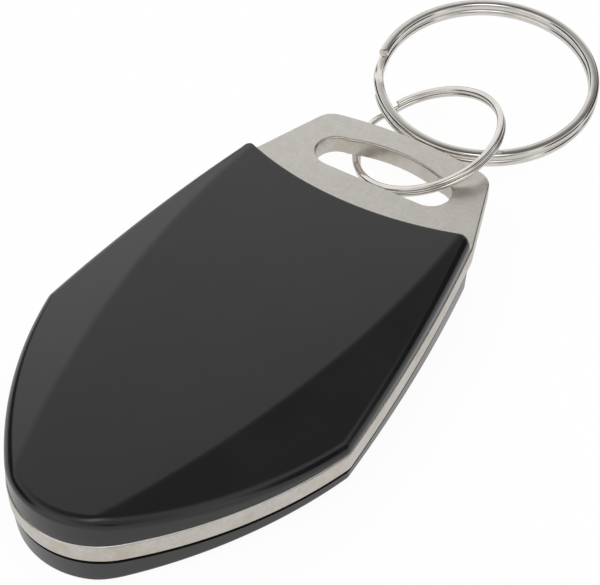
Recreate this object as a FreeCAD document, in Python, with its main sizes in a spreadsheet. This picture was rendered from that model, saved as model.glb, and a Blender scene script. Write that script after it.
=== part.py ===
"""Key fob for a proximity reader: a moulded body round a metal loop plate, on two split rings.

Millimetres, +Z up. The origin is on the flat underside, in the middle of the body's length and width.
+Y runs from the nose towards the tab that carries the rings, and +X is to the right of it.
"""

import FreeCAD
import Part
import Sketcher
import math
import os
from FreeCAD import Placement, Rotation, Vector

SHEET = "Sizes"

# Driving dimensions: alias, value in millimetres or degrees, meaning.
SIZES = (
    ("nose_reach", 23.33, "nose tip to the origin"),
    ("body_reach", 23.5, "origin to the corners of the body's tab end"),
    ("body_half_width", 16.0, "half the width across the shoulders"),
    ("shoulder_length", 19.87, "nose tip to the shoulders"),
    ("end_narrowing", 3.3, "tab end narrower than the shoulders, each side"),
    ("nose_radius", 8.2, "radius of the nose in plan"),
    ("nose_side_radius", 42.0, "radius of the sides between nose and shoulder"),
    ("flank_radius", 190.0, "radius of the flanks between shoulder and tab end"),
    ("end_edge_radius", 32.5, "radius of the hollow edge at the tab end"),
    ("shoulder_rounding", 1.5, "rounding of the shoulders in plan"),
    ("plate_thickness", 2.0, "metal loop plate"),
    ("plate_band", 3.0, "width of the plate round its window"),
    ("window_web", 2.7, "plate between the window and its pin holes"),
    ("tab_length", 9.7, "tab's far corners past the body's corners"),
    ("slot_side", 4.1, "tab's far corners outside the centres of the slot's ends"),
    ("bar_width", 2.75, "tab's far corners past the slot's ends"),
    ("tab_edge_radius", 42.6, "radius of the tab's far edge"),
    ("tab_corner_radius", 2.2, "rounding of the tab's far corners"),
    ("slot_half_straight", 5.3, "half the straight length of the slot"),
    ("slot_end_radius", 2.15, "radius of the slot's ends"),
    ("slot_far_radius", 14.5, "radius of the slot's far edge"),
    ("plate_edge_break", 0.2, "broken edges of the tab"),
    ("shell_inset", 0.22, "shells set in from the plate's edge"),
    ("shell_wall", 1.4, "side wall of both shells"),
    ("draft_angle", 3.0, "draft of the side walls, degrees"),
    ("upper_nose_height", 3.0, "upper shell above the plate at the nose"),
    ("upper_end_height", 1.9, "upper shell above the plate at the tab end"),
    ("lower_depth", 3.0, "lower shell below the plate"),
    ("crease_radius", 109.2, "radius of the creases beside the flat land"),
    ("facet_end_width", 1.1145, "facets at the tab end, inside the body's corners"),
    ("crease_inset", 5.0, "land's widest place in front of the body's corners"),
    ("facet_angle", 14.0, "fall of the facets outside the creases, degrees"),
    ("crease_rounding", 1.0, "rounding along the creases"),
    ("rim_radius", 0.6, "rounding between facets and walls"),
    ("parting_height", 0.35, "height of the shadow groove under the plate"),
    ("parting_depth", 0.3, "depth of the shadow groove under the plate"),
    ("floor_thickness", 1.2, "floor of the lower shell"),
    ("roof_recess", 0.8, "recess in the upper shell's underside"),
    ("pin_diameter", 2.4, "joining pins on the lower shell"),
    ("pin_clearance", 0.1, "play of the pins on the radius"),
    ("pin_height", 1.0, "pins above the plate"),
    ("pin_margin", 0.2, "pin holes inside the plate's window"),
    ("boss_wall", 0.9, "wall of the bosses round the pins"),
    ("pin_spacing", 14.0, "between the two pins that pass through the plate"),
    ("pin_inset", 6.5, "those two pins in front of the body's corners"),
    ("coil_side_gap", 0.2, "adhesive pad clear of the shoulder pins"),
    ("coil_nose_gap", 1.53, "adhesive pad clear of the nose pin"),
    ("coil_width", 2.3, "width of the coil's winding"),
    ("coil_thickness", 1.0, "antenna coil height"),
    ("pad_thickness", 0.3, "adhesive pad under the coil"),
    ("pad_margin", 0.3, "adhesive pad outside the coil"),
    ("board_length", 6.4, "chip board along X"),
    ("board_width", 4.2, "chip board along Y"),
    ("board_thickness", 0.6, "chip board"),
    ("blob_diameter", 3.0, "chip encapsulation across"),
    ("blob_height", 0.8, "chip encapsulation"),
    ("solder_diameter", 1.1, "solder joint at the board"),
    ("solder_tip_diameter", 0.55, "solder joint across its top"),
    ("solder_height", 0.45, "solder joint"),
    ("solder_inset", 0.8, "solder joints inside the board's ends"),
    ("lead_diameter", 0.25, "coil lead"),
    ("small_ring_diameter", 15.87, "small split ring outside"),
    ("small_wire_width", 0.65, "small ring wire, radial"),
    ("small_wire_height", 0.43, "small ring wire, along the axis"),
    ("large_ring_diameter", 23.38, "large split ring outside"),
    ("large_wire_width", 0.95, "large ring wire, radial"),
    ("large_wire_height", 0.79, "large ring wire, along the axis"),
    ("turn_gap", 0.06, "between the two turns of a split ring"),
)

# Ring seats: where the rings hang on the tab, as found in the rest position.
RING_SIZES = (
    ("small_ring_side", 1.24, "small ring centre to the right"),
    ("small_ring_gap", 0.965, "small ring clear of the slot's near edge in plan"),
    ("small_ring_lift", 0.76, "small ring centre above the plate's middle"),
    ("small_side_angle", 18.37, "small ring falls to its left, degrees"),
    ("small_back_angle", 9.18, "small ring falls to the front, degrees"),
    ("small_split_angle", 145.0, "small ring's free upper end, degrees from +X"),
    ("small_step_angle", 26.0, "small ring's step between the turns, degrees"),
    ("large_ring_side", 1.75, "large ring centre to the right"),
    ("large_ring_gap", 0.24, "large ring clear of the tab's far edge"),
    ("large_ring_lift", 1.42, "large ring centre above the plate's middle"),
    ("large_side_angle", -1.66, "large ring falls to its left, degrees"),
    ("large_back_angle", 6.9, "large ring falls to the front, degrees"),
    ("large_split_angle", 193.0, "large ring's free upper end, degrees from +X"),
    ("large_step_angle", 24.0, "large ring's step between the turns, degrees"),
    ("wire_end_angle", 1.5, "air between a wire end and the step beside it, degrees"),
    ("wire_rounding", 0.14, "rounded edges of the ring wire"),
)

# Points of a sketch's lines and arcs, as its constraints count them.
START, END, CENTRE = range(1, 4)
ORIGIN = (-1, START)
Y_AXIS = (-2,)

SIDES = (("Right", 1), ("Left", -1))
STEP_SECTIONS = 12
CUT_MARGIN = 4.0
HEAD_ROOM = 0.5
FLAT_ANGLE = 37.0
UPRIGHT_ANGLE = 72.0
MOST_ROUNDING_SHARE = 0.45


class Size:
    """A number and the spreadsheet expression that gives it."""

    def __init__(self, value, text):
        self.value = float(value)
        self.text = text

    @staticmethod
    def of(item):
        return item if isinstance(item, Size) else Size(item, repr(float(item)))

    def __add__(self, other):
        other = Size.of(other)
        return Size(self.value + other.value, f"({self.text} + {other.text})")

    def __radd__(self, other):
        return Size.of(other) + self

    def __sub__(self, other):
        other = Size.of(other)
        return Size(self.value - other.value, f"({self.text} - {other.text})")

    def __rsub__(self, other):
        return Size.of(other) - self

    def __mul__(self, other):
        other = Size.of(other)
        return Size(self.value * other.value, f"({self.text} * {other.text})")

    def __rmul__(self, other):
        return Size.of(other) * self

    def __truediv__(self, other):
        other = Size.of(other)
        return Size(self.value / other.value, f"({self.text} / {other.text})")

    def __neg__(self):
        return Size(-self.value, f"(0 - {self.text})")


def tangent(angle):
    """The tangent of an angle in degrees."""
    return Size(math.tan(math.radians(angle.value)), f"tan({angle.text})")


def square_root(size):
    return Size(math.sqrt(size.value), f"sqrt({size.text})")


def make_sheet(doc):
    """Writes the driving dimensions and returns each as a Size under its alias."""
    sheet = doc.addObject("Spreadsheet::Sheet", SHEET)
    sizes = {}
    for row, (alias, value, meaning) in enumerate(SIZES + RING_SIZES, start=1):
        sheet.set(f"A{row}", alias)
        sheet.set(f"B{row}", str(value))
        sheet.set(f"C{row}", meaning)
        sheet.setAlias(f"B{row}", alias)
    doc.recompute()
    for alias, _, _ in SIZES + RING_SIZES:
        sizes[alias] = Size(sheet.get(alias), f"{SHEET}.{alias}")
    add_derived(sizes)
    return sizes


def add_derived(sizes):
    """Adds the sizes that follow from the driving ones."""
    sizes["shoulder_offset"] = sizes["nose_reach"] - sizes["shoulder_length"]
    sizes["end_half_width"] = sizes["body_half_width"] - sizes["end_narrowing"]
    crease_end = square_root(
        sizes["crease_radius"] * sizes["crease_radius"] - sizes["crease_inset"] * sizes["crease_inset"],
    )
    crease_bow = sizes["crease_radius"] - crease_end
    sizes["crease_half_gap"] = sizes["end_half_width"] - sizes["facet_end_width"] + crease_bow
    sizes["crease_reach"] = sizes["body_reach"] - sizes["crease_inset"]
    sizes["tab_half_width"] = sizes["slot_half_straight"] + sizes["slot_side"]
    sizes["tab_corner_reach"] = sizes["body_reach"] + sizes["tab_length"]
    sizes["slot_reach"] = sizes["tab_corner_reach"] - sizes["bar_width"] - sizes["slot_end_radius"] * 2
    sizes["pin_radius"] = sizes["pin_diameter"] / 2
    sizes["hole_radius"] = sizes["pin_radius"] + sizes["pin_clearance"]
    sizes["plate_pin_reach"] = sizes["body_reach"] - sizes["pin_inset"]
    sizes["window_reach"] = sizes["plate_pin_reach"] - sizes["hole_radius"] - sizes["window_web"]
    sizes["band_pin_inset"] = sizes["plate_band"] + sizes["pin_margin"] + sizes["hole_radius"]
    free_radius = sizes["body_half_width"] - sizes["band_pin_inset"] - sizes["pin_radius"]
    sizes["pad_radius"] = free_radius - sizes["coil_side_gap"]
    sizes["coil_radius"] = sizes["pad_radius"] - sizes["pad_margin"]
    sizes["coil_bore_radius"] = sizes["coil_radius"] - sizes["coil_width"]
    nose_pin_end = sizes["nose_reach"] - sizes["band_pin_inset"] - sizes["pin_radius"]
    sizes["coil_offset"] = nose_pin_end - sizes["coil_nose_gap"] - sizes["pad_radius"]
    sizes["solder_reach"] = sizes["board_length"] / 2 - sizes["solder_inset"]


def meet(centre_a, radius_a, centre_b, radius_b, near):
    """The point where two circles cross that lies nearest to a third point."""
    gap = (centre_b - centre_a).Length
    along = (gap ** 2 + radius_a ** 2 - radius_b ** 2) / (2 * gap)
    across = math.sqrt(radius_a ** 2 - along ** 2)
    ahead = (centre_b - centre_a) / gap
    beside = Vector(-ahead.y, ahead.x, 0)
    points = [centre_a + ahead * along + beside * across * side for side in (1, -1)]
    return min(points, key=lambda point: (point - near).Length)


def mirrored(point):
    return Vector(-point.x, point.y, point.z)


class Drawing:
    """A sketch on an origin plane of its body, drawn to size and held by constraints."""

    def __init__(self, body, name, plane="XY_Plane", height=None):
        self.sketch = body.newObject("Sketcher::SketchObject", name)
        origin = [item for item in body.Origin.OriginFeatures if item.Role == plane]
        self.sketch.AttachmentSupport = [(origin[0], "")]
        self.sketch.MapMode = "FlatFace"
        if height is not None:
            self.sketch.AttachmentOffset = Placement(Vector(0, 0, height.value), Rotation())
            self.sketch.setExpression("AttachmentOffset.Base.z", height.text)

    def add(self, shape, construction=False):
        return self.sketch.addGeometry(shape, construction)

    def rule(self, kind, *items):
        self.sketch.addConstraint(Sketcher.Constraint(kind, *items))

    def size(self, kind, items, size):
        index = self.sketch.addConstraint(Sketcher.Constraint(kind, *items, size.value))
        self.sketch.setExpression(f"Constraints[{index}]", size.text)

    def place(self, item, end, across, along):
        """Holds a point at a signed distance from the sketch's origin both ways."""
        for kind, size in (("DistanceX", across), ("DistanceY", along)):
            size = Size.of(size)
            if size.value >= 0:
                self.size(kind, (*ORIGIN, item, end), size)
            else:
                self.size(kind, (item, end, *ORIGIN), -size)

    def arc(self, centre, start, end, construction=False):
        """An arc that runs anticlockwise from its start to its end."""
        radius = (start - centre).Length
        angles = [math.atan2(point.y - centre.y, point.x - centre.x) for point in (start, end)]
        circle = Part.Circle(centre, Vector(0, 0, 1), radius)
        return self.add(Part.ArcOfCircle(circle, *angles), construction)

    def line(self, start, end):
        return self.add(Part.LineSegment(start, end))

    def circle(self, across, along, radius):
        across, along = Size.of(across), Size.of(along)
        centre = Vector(across.value, along.value, 0)
        item = self.add(Part.Circle(centre, Vector(0, 0, 1), radius.value))
        self.place(item, CENTRE, across, along)
        self.size("Radius", (item,), radius)
        return item

    def polygon(self, corners):
        """A closed outline of straight lines whose corners are pairs of sizes."""
        points = [Vector(Size.of(x).value, Size.of(y).value, 0) for x, y in corners]
        items = [self.line(a, b) for a, b in zip(points, points[1:] + points[:1])]
        for item, following in zip(items, items[1:] + items[:1]):
            self.rule("Coincident", item, END, following, START)
        for item, (x, y) in zip(items, corners):
            self.place(item, START, x, y)


class Outline:
    """The body's outline in plan: nose, two sides, two flanks and the hollow edge at the tab end."""

    def __init__(self, sizes):
        self.sizes = sizes
        value = {alias: size.value for alias, size in sizes.items()}
        self.nose = Vector(0, value["nose_radius"] - value["nose_reach"], 0)
        self.shoulder = Vector(value["body_half_width"], -value["shoulder_offset"], 0)
        self.corner = Vector(value["end_half_width"], value["body_reach"], 0)
        inside = Vector(-value["nose_side_radius"], 0, 0)
        self.side = meet(
            self.nose, value["nose_side_radius"] - value["nose_radius"],
            self.shoulder, value["nose_side_radius"], inside,
        )
        inside = Vector(-value["flank_radius"], 0, 0)
        self.flank = meet(
            self.shoulder, value["flank_radius"], self.corner, value["flank_radius"], inside,
        )
        rise = math.sqrt(value["end_edge_radius"] ** 2 - self.corner.x ** 2)
        self.end = Vector(0, self.corner.y + rise, 0)

    def arcs(self, drawing, inset, construction=False):
        """Draws nose, sides and flanks set in by a distance, and returns them by name."""
        value = {alias: size.value for alias, size in self.sizes.items()}
        side_radius = value["nose_side_radius"] - inset
        flank_radius = value["flank_radius"] - inset
        ahead = (self.nose - self.side).normalize()
        joint = self.side + ahead * side_radius
        shoulder = meet(self.side, side_radius, self.flank, flank_radius, self.shoulder)
        end_radius = value["end_edge_radius"] + inset
        corner = meet(self.flank, flank_radius, self.end, end_radius, self.corner)
        drawn = {
            "nose": drawing.arc(self.nose, mirrored(joint), joint, construction),
            "side": drawing.arc(self.side, joint, shoulder, construction),
            "flank": drawing.arc(self.flank, shoulder, corner, construction),
            "left_flank": drawing.arc(
                mirrored(self.flank), mirrored(corner), mirrored(shoulder), construction,
            ),
            "left_side": drawing.arc(
                mirrored(self.side), mirrored(shoulder), mirrored(joint), construction,
            ),
        }
        drawing.rule("Tangent", drawn["nose"], END, drawn["side"], START)
        drawing.rule("Tangent", drawn["left_side"], END, drawn["nose"], START)
        drawing.rule("Coincident", drawn["side"], END, drawn["flank"], START)
        drawing.rule("Coincident", drawn["left_flank"], END, drawn["left_side"], START)
        return drawn

    def hold(self, drawing, drawn):
        """Holds a full size outline by the driving dimensions."""
        sizes = self.sizes
        drawing.rule("PointOnObject", drawn["nose"], CENTRE, *Y_AXIS)
        reach = sizes["nose_reach"] - sizes["nose_radius"]
        drawing.size("DistanceY", (drawn["nose"], CENTRE, *ORIGIN), reach)
        drawing.size("Radius", (drawn["nose"],), sizes["nose_radius"])
        drawing.size("Radius", (drawn["side"],), sizes["nose_side_radius"])
        drawing.size("Radius", (drawn["flank"],), sizes["flank_radius"])
        drawing.rule("Equal", drawn["side"], drawn["left_side"])
        drawing.rule("Equal", drawn["flank"], drawn["left_flank"])
        drawing.place(drawn["side"], END, sizes["body_half_width"], -sizes["shoulder_offset"])
        drawing.place(drawn["flank"], END, sizes["end_half_width"], sizes["body_reach"])
        drawing.rule("Symmetric", drawn["side"], END, drawn["left_side"], START, *Y_AXIS)
        drawing.rule("Symmetric", drawn["flank"], END, drawn["left_flank"], START, *Y_AXIS)

    def base(self, drawing):
        """Draws the outline at full size as construction lines, hollow edge included."""
        drawn = self.arcs(drawing, 0.0, construction=True)
        self.hold(drawing, drawn)
        end = drawing.arc(self.end, mirrored(self.corner), self.corner, construction=True)
        drawing.rule("Coincident", end, START, drawn["left_flank"], START)
        drawing.rule("Coincident", end, END, drawn["flank"], END)
        drawing.size("Radius", (end,), self.sizes["end_edge_radius"])
        drawn["end"] = end
        return drawn

    def offset(self, drawing, inset):
        """Draws nose, sides and flanks concentric with the full outline and set in from it."""
        base = self.base(drawing)
        drawn = self.arcs(drawing, inset.value)
        for name, item in drawn.items():
            drawing.rule("Coincident", item, CENTRE, base[name], CENTRE)
        drawing.size("Radius", (drawn["side"],), self.sizes["nose_side_radius"] - inset)
        drawing.size("Radius", (drawn["flank"],), self.sizes["flank_radius"] - inset)
        drawing.rule("Equal", drawn["flank"], drawn["left_flank"])
        return base, drawn

    def closed_by_end(self, drawing, inset):
        """A closed outline set in all round."""
        base, drawn = self.offset(drawing, inset)
        flank_radius = self.sizes["flank_radius"].value - inset.value
        radius = self.sizes["end_edge_radius"] + inset
        corner = meet(self.flank, flank_radius, self.end, radius.value, self.corner)
        end = drawing.arc(self.end, mirrored(corner), corner)
        drawing.rule("Coincident", end, CENTRE, base["end"], CENTRE)
        drawing.rule("Coincident", end, START, drawn["left_flank"], START)
        drawing.rule("Coincident", end, END, drawn["flank"], END)
        drawing.size("Radius", (end,), radius)

    def closed_straight(self, drawing, inset, reach):
        """A closed outline set in at the sides, with a straight end across the body."""
        base, drawn = self.offset(drawing, inset)
        flank_radius = self.sizes["flank_radius"].value - inset.value
        rise = reach.value - self.flank.y
        across = self.flank.x + math.sqrt(flank_radius ** 2 - rise ** 2)
        corner = Vector(across, reach.value, 0)
        line = drawing.line(corner, mirrored(corner))
        drawing.rule("Coincident", line, START, drawn["flank"], END)
        drawing.rule("Coincident", line, END, drawn["left_flank"], START)
        drawing.size("DistanceY", (*ORIGIN, line, START), reach)
        drawing.rule("Horizontal", line)


def new_body(doc, name, height=None):
    """A body under its piece's name, raised above the table by a size."""
    body = doc.addObject("PartDesign::Body", name)
    body.Label = name
    if height is not None:
        body.Placement = Placement(Vector(0, 0, height.value), Rotation())
        body.setExpression("Placement.Base.z", height.text)
    return body


def pad(body, drawing, name, length, up=True, draft=None):
    """Raises a sketch into a solid of a given length, drawn in by its draft."""
    feature = body.newObject("PartDesign::Pad", name)
    feature.Profile = drawing.sketch
    feature.Reversed = not up
    feature.Length = length.value
    feature.setExpression("Length", length.text)
    if draft is not None:
        feature.setExpression("TaperAngle", (-draft).text)
    body.Document.recompute()
    return feature


def pocket(body, drawing, name, length, up=False, midplane=False):
    """Cuts a sketch out of the body to a given depth, and sees that it removed something."""
    before = body.Shape.Volume
    feature = body.newObject("PartDesign::Pocket", name)
    feature.Profile = drawing.sketch
    feature.Reversed = up
    feature.Midplane = midplane
    feature.Length = length.value
    feature.setExpression("Length", length.text)
    body.Document.recompute()
    if not body.Shape.Volume < before:
        raise RuntimeError(f"{name} cuts nothing")
    return feature


def fillet(body, feature, name, edges, radius):
    """Rounds some edges of the body's last feature."""
    rounding = body.newObject("PartDesign::Fillet", name)
    rounding.Base = (feature, edges)
    rounding.Radius = radius.value
    rounding.setExpression("Radius", radius.text)
    body.Document.recompute()
    return rounding


def edge_names(shape, wanted):
    """Names of the edges that a test accepts."""
    return [f"Edge{i}" for i, edge in enumerate(shape.Edges, start=1) if wanted(edge)]


def middle(edge):
    return edge.valueAt((edge.FirstParameter + edge.LastParameter) / 2)


def slopes(shape, edge):
    """Slopes of the faces beside an edge in degrees, from 0 for level faces to 90 for upright ones."""
    point = middle(edge)
    found = []
    for face in shape.ancestorsOfType(edge, Part.Face):
        across, along = face.Surface.parameter(point)
        found.append(math.degrees(math.acos(min(1, abs(face.normalAt(across, along).z)))))
    return found


def is_upright(edge):
    start, end = edge.Vertexes[0].Point, edge.Vertexes[-1].Point
    slope = math.atan2(abs(end.z - start.z), math.hypot(end.x - start.x, end.y - start.y))
    return math.degrees(slope) > UPRIGHT_ANGLE


def is_shoulder(edge, sizes):
    """An upright edge at a shoulder of the body, further out than the corners at the tab end."""
    between = (sizes["body_half_width"] + sizes["end_half_width"]) / 2
    return is_upright(edge) and abs(middle(edge).x) > between.value


def round_top(body, feature, sizes, foot):
    """Rounds the creases, then the whole rim, of walls that stand on the height of their foot."""
    shape = feature.Shape
    margin = sizes["rim_radius"].value / 2

    def beyond(edge):
        return abs(middle(edge).z - foot.value) > margin

    creases = edge_names(shape, lambda edge: beyond(edge) and max(slopes(shape, edge)) < FLAT_ANGLE)
    softened = fillet(body, feature, "Creases", creases, sizes["crease_rounding"])
    top = softened.Shape

    def is_rim(edge):
        found = slopes(top, edge)
        return beyond(edge) and max(found) > UPRIGHT_ANGLE and min(found) < FLAT_ANGLE

    return fillet(body, softened, "Rim", edge_names(top, is_rim), sizes["rim_radius"])


def pin_places(sizes):
    """Where the joining pins stand: one in the nose, two at the shoulders, two through the plate."""
    nose = (Size.of(0), sizes["band_pin_inset"] - sizes["nose_reach"])
    across = sizes["body_half_width"] - sizes["band_pin_inset"]
    plate = sizes["pin_spacing"] / 2
    return {
        "nose": nose,
        "right_shoulder": (across, -sizes["shoulder_offset"]),
        "left_shoulder": (-across, -sizes["shoulder_offset"]),
        "right_plate": (plate, sizes["plate_pin_reach"]),
        "left_plate": (-plate, sizes["plate_pin_reach"]),
    }


def cut_facets(body, sizes, land_height, slope, down=False):
    """Cuts the conical facets outside both creases.

    Each crease is an arc on the land. The cut turns about the arc's own axis, which stands square on
    the land, and the other side mirrors it.
    """
    side = -1 if down else 1
    drawing = Drawing(body, "FacetProfile", plane="XZ_Plane")
    height = land_height * side
    offset = Placement(
        Vector(0, height.value, -sizes["crease_reach"].value), Rotation(Vector(1, 0, 0), 0),
    )
    drawing.sketch.AttachmentOffset = offset
    drawing.sketch.setExpression("AttachmentOffset.Base.y", height.text)
    drawing.sketch.setExpression("AttachmentOffset.Base.z", (-sizes["crease_reach"]).text)
    if slope is not None:
        drawing.sketch.AttachmentOffset.Rotation = Rotation(Vector(1, 0, 0), -slope.value)
        drawing.sketch.setExpression("AttachmentOffset.Rotation.Angle", slope.text)
        drawing.sketch.setExpression("AttachmentOffset.Rotation.Axis.x", "-1")
    inner = sizes["crease_half_gap"]
    outer = inner + sizes["body_half_width"]
    fall = tangent(sizes["facet_angle"]) * sizes["body_half_width"] * -side
    drawing.polygon((
        (inner, 0), (outer, fall), (outer, CUT_MARGIN * side), (inner, CUT_MARGIN * side),
    ))
    axis_across = inner - sizes["crease_radius"]
    start, end = (Vector(axis_across.value, along, 0) for along in (-CUT_MARGIN, CUT_MARGIN))
    axis = drawing.add(Part.LineSegment(start, end), True)
    drawing.place(axis, START, axis_across, -CUT_MARGIN)
    drawing.place(axis, END, axis_across, CUT_MARGIN)
    body.Document.recompute()
    groove = body.newObject("PartDesign::Groove", "RightFacet")
    groove.Profile = drawing.sketch
    groove.ReferenceAxis = (drawing.sketch, ["Axis0"])
    groove.Angle = 360
    body.Document.recompute()
    mirror = body.newObject("PartDesign::Mirrored", "LeftFacet")
    mirror.Originals = [groove]
    plane = [item for item in body.Origin.OriginFeatures if item.Role == "YZ_Plane"]
    mirror.MirrorPlane = (plane[0], [""])
    body.Tip = mirror
    body.Document.recompute()
    return mirror


def make_upper_shell(doc, sizes, outline):
    """The upper half: sloping land between two creases, a recess and sockets underneath."""
    body = new_body(doc, "upper_shell", sizes["lower_depth"] + sizes["plate_thickness"])
    plan = Drawing(body, "UpperPlan")
    outline.closed_by_end(plan, sizes["shell_inset"])
    height = sizes["upper_nose_height"] + HEAD_ROOM
    walls = pad(body, plan, "UpperWalls", height, draft=sizes["draft_angle"])
    fillet(
        body, walls, "ShoulderRounding",
        edge_names(walls.Shape, lambda edge: is_shoulder(edge, sizes)), sizes["shoulder_rounding"],
    )
    drop = sizes["upper_nose_height"] - sizes["upper_end_height"]
    run = sizes["nose_reach"] + sizes["body_reach"]
    fall = drop / run
    land = Drawing(body, "LandSlope", plane="YZ_Plane")
    land.polygon((
        (-sizes["nose_reach"] - CUT_MARGIN, sizes["upper_nose_height"] + fall * CUT_MARGIN),
        (sizes["body_reach"] + CUT_MARGIN, sizes["upper_end_height"] - fall * CUT_MARGIN),
        (sizes["body_reach"] + CUT_MARGIN, sizes["upper_nose_height"] + CUT_MARGIN),
        (-sizes["nose_reach"] - CUT_MARGIN, sizes["upper_nose_height"] + CUT_MARGIN),
    ))
    pocket(body, land, "Land", (sizes["body_half_width"] + CUT_MARGIN) * 2, midplane=True)
    slope = Size(math.degrees(math.atan(fall.value)), f"atan({fall.text})")
    crease_height = sizes["upper_nose_height"] - fall * (sizes["nose_reach"] + sizes["crease_reach"])
    facets = cut_facets(body, sizes, crease_height, slope)
    round_top(body, facets, sizes, Size.of(0))
    recess = Drawing(body, "RecessPlan")
    outline.closed_by_end(recess, sizes["shell_inset"] + sizes["shell_wall"])
    pocket(body, recess, "Recess", sizes["roof_recess"], up=True)
    places = pin_places(sizes)
    bosses = Drawing(body, "BossPlan")
    for across, along in (places["right_plate"], places["left_plate"]):
        bosses.circle(across, along, sizes["hole_radius"] + sizes["boss_wall"])
    pad(body, bosses, "Bosses", sizes["roof_recess"])
    sockets = Drawing(body, "SocketPlan")
    for across, along in places.values():
        sockets.circle(across, along, sizes["hole_radius"])
    pocket(body, sockets, "Sockets", sizes["pin_height"] + sizes["pin_clearance"], up=True)
    return body


def make_lower_shell(doc, sizes, outline):
    """The lower half: flat land to rest on, a well for the coil, and the joining pins."""
    body = new_body(doc, "lower_shell", sizes["lower_depth"])
    plan = Drawing(body, "LowerPlan", height=-sizes["parting_height"])
    outline.closed_by_end(plan, sizes["shell_inset"])
    depth = sizes["lower_depth"] - sizes["parting_height"]
    walls = pad(body, plan, "LowerWalls", depth, up=False, draft=sizes["draft_angle"])
    fillet(
        body, walls, "ShoulderRounding",
        edge_names(walls.Shape, lambda edge: is_shoulder(edge, sizes)), sizes["shoulder_rounding"],
    )
    facets = cut_facets(body, sizes, sizes["lower_depth"], None, down=True)
    round_top(body, facets, sizes, -sizes["parting_height"])
    neck = Drawing(body, "NeckPlan")
    outline.closed_by_end(neck, sizes["shell_inset"] + sizes["parting_depth"])
    pad(body, neck, "Neck", sizes["parting_height"], up=False)
    well_depth = sizes["lower_depth"] - sizes["floor_thickness"]
    well = Drawing(body, "WellPlan")
    outline.closed_by_end(well, sizes["shell_inset"] + sizes["shell_wall"])
    pocket(body, well, "Well", well_depth)
    places = pin_places(sizes)
    bosses = Drawing(body, "BossPlan", height=-well_depth)
    for across, along in (places["right_plate"], places["left_plate"]):
        bosses.circle(across, along, sizes["pin_radius"] + sizes["boss_wall"])
    pad(body, bosses, "Bosses", well_depth)
    pins = Drawing(body, "PinPlan", height=-well_depth)
    for across, along in places.values():
        pins.circle(across, along, sizes["pin_radius"])
    pad(body, pins, "Pins", well_depth + sizes["plate_thickness"] + sizes["pin_height"])
    return body


def draw_slot(drawing, sizes):
    """The ring slot: straight near edge, round ends and a bowed far edge."""
    half, radius = sizes["slot_half_straight"], sizes["slot_end_radius"]
    near, far = sizes["slot_reach"].value, sizes["slot_reach"].value + 2 * radius.value
    right_near, right_far = Vector(half.value, near, 0), Vector(half.value, far, 0)
    centre = Vector(half.value, near + radius.value, 0)
    bow = sizes["slot_far_radius"]
    bow_centre = Vector(0, far - math.sqrt(bow.value ** 2 - half.value ** 2), 0)
    line = drawing.line(mirrored(right_near), right_near)
    right = drawing.arc(centre, right_near, right_far)
    top = drawing.arc(bow_centre, right_far, mirrored(right_far))
    left = drawing.arc(mirrored(centre), mirrored(right_far), mirrored(right_near))
    drawing.rule("Symmetric", line, START, line, END, *Y_AXIS)
    drawing.place(line, END, half, sizes["slot_reach"])
    drawing.rule("Tangent", line, END, right, START)
    drawing.rule("Tangent", left, END, line, START)
    drawing.rule("Coincident", right, END, top, START)
    drawing.rule("Coincident", top, END, left, START)
    drawing.size("Radius", (right,), radius)
    drawing.rule("Equal", right, left)
    drawing.size("DistanceX", (*ORIGIN, right, END), half)
    drawing.size("DistanceX", (left, START, *ORIGIN), half)
    drawing.size("Radius", (top,), bow)


def make_metal_frame(doc, sizes, outline):
    """The plate between the shells: a band round a window, and the tab with its ring slot."""
    body = new_body(doc, "metal_frame", sizes["lower_depth"])
    plan = Drawing(body, "PlatePlan")
    drawn = outline.arcs(plan, 0.0)
    outline.hold(plan, drawn)
    far = Vector(sizes["tab_half_width"].value, sizes["tab_corner_reach"].value, 0)
    edge_radius = sizes["tab_edge_radius"]
    edge_centre = Vector(0, far.y - math.sqrt(edge_radius.value ** 2 - far.x ** 2), 0)
    right = plan.line(outline.corner, far)
    edge = plan.arc(edge_centre, far, mirrored(far))
    left = plan.line(mirrored(far), mirrored(outline.corner))
    plan.rule("Coincident", drawn["flank"], END, right, START)
    plan.rule("Coincident", right, END, edge, START)
    plan.rule("Coincident", edge, END, left, START)
    plan.rule("Coincident", left, END, drawn["left_flank"], START)
    plan.place(right, END, sizes["tab_half_width"], sizes["tab_corner_reach"])
    plan.rule("Symmetric", right, END, left, START, *Y_AXIS)
    plan.size("Radius", (edge,), edge_radius)
    plate = pad(body, plan, "Plate", sizes["plate_thickness"])
    tab_start = sizes["body_reach"].value
    tab_middle = tab_start + sizes["tab_length"].value / 2
    corners = edge_names(
        plate.Shape, lambda edge: is_upright(edge) and middle(edge).y > tab_middle,
    )
    fillet(body, plate, "TabCorners", corners, sizes["tab_corner_radius"])
    window = Drawing(body, "WindowPlan")
    outline.closed_straight(window, sizes["plate_band"], sizes["window_reach"])
    pocket(body, window, "Window", sizes["plate_thickness"], up=True)
    holes = Drawing(body, "PinHolePlan")
    places = pin_places(sizes)
    for across, along in (places["right_plate"], places["left_plate"]):
        holes.circle(across, along, sizes["hole_radius"])
    pocket(body, holes, "PinHoles", sizes["plate_thickness"], up=True)
    slot = Drawing(body, "SlotPlan")
    draw_slot(slot, sizes)
    cut = pocket(body, slot, "Slot", sizes["plate_thickness"], up=True)
    edges = edge_names(
        cut.Shape, lambda edge: middle(edge).y > tab_start and not is_upright(edge),
    )
    fillet(body, cut, "BrokenEdges", edges, sizes["plate_edge_break"])
    return body


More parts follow.
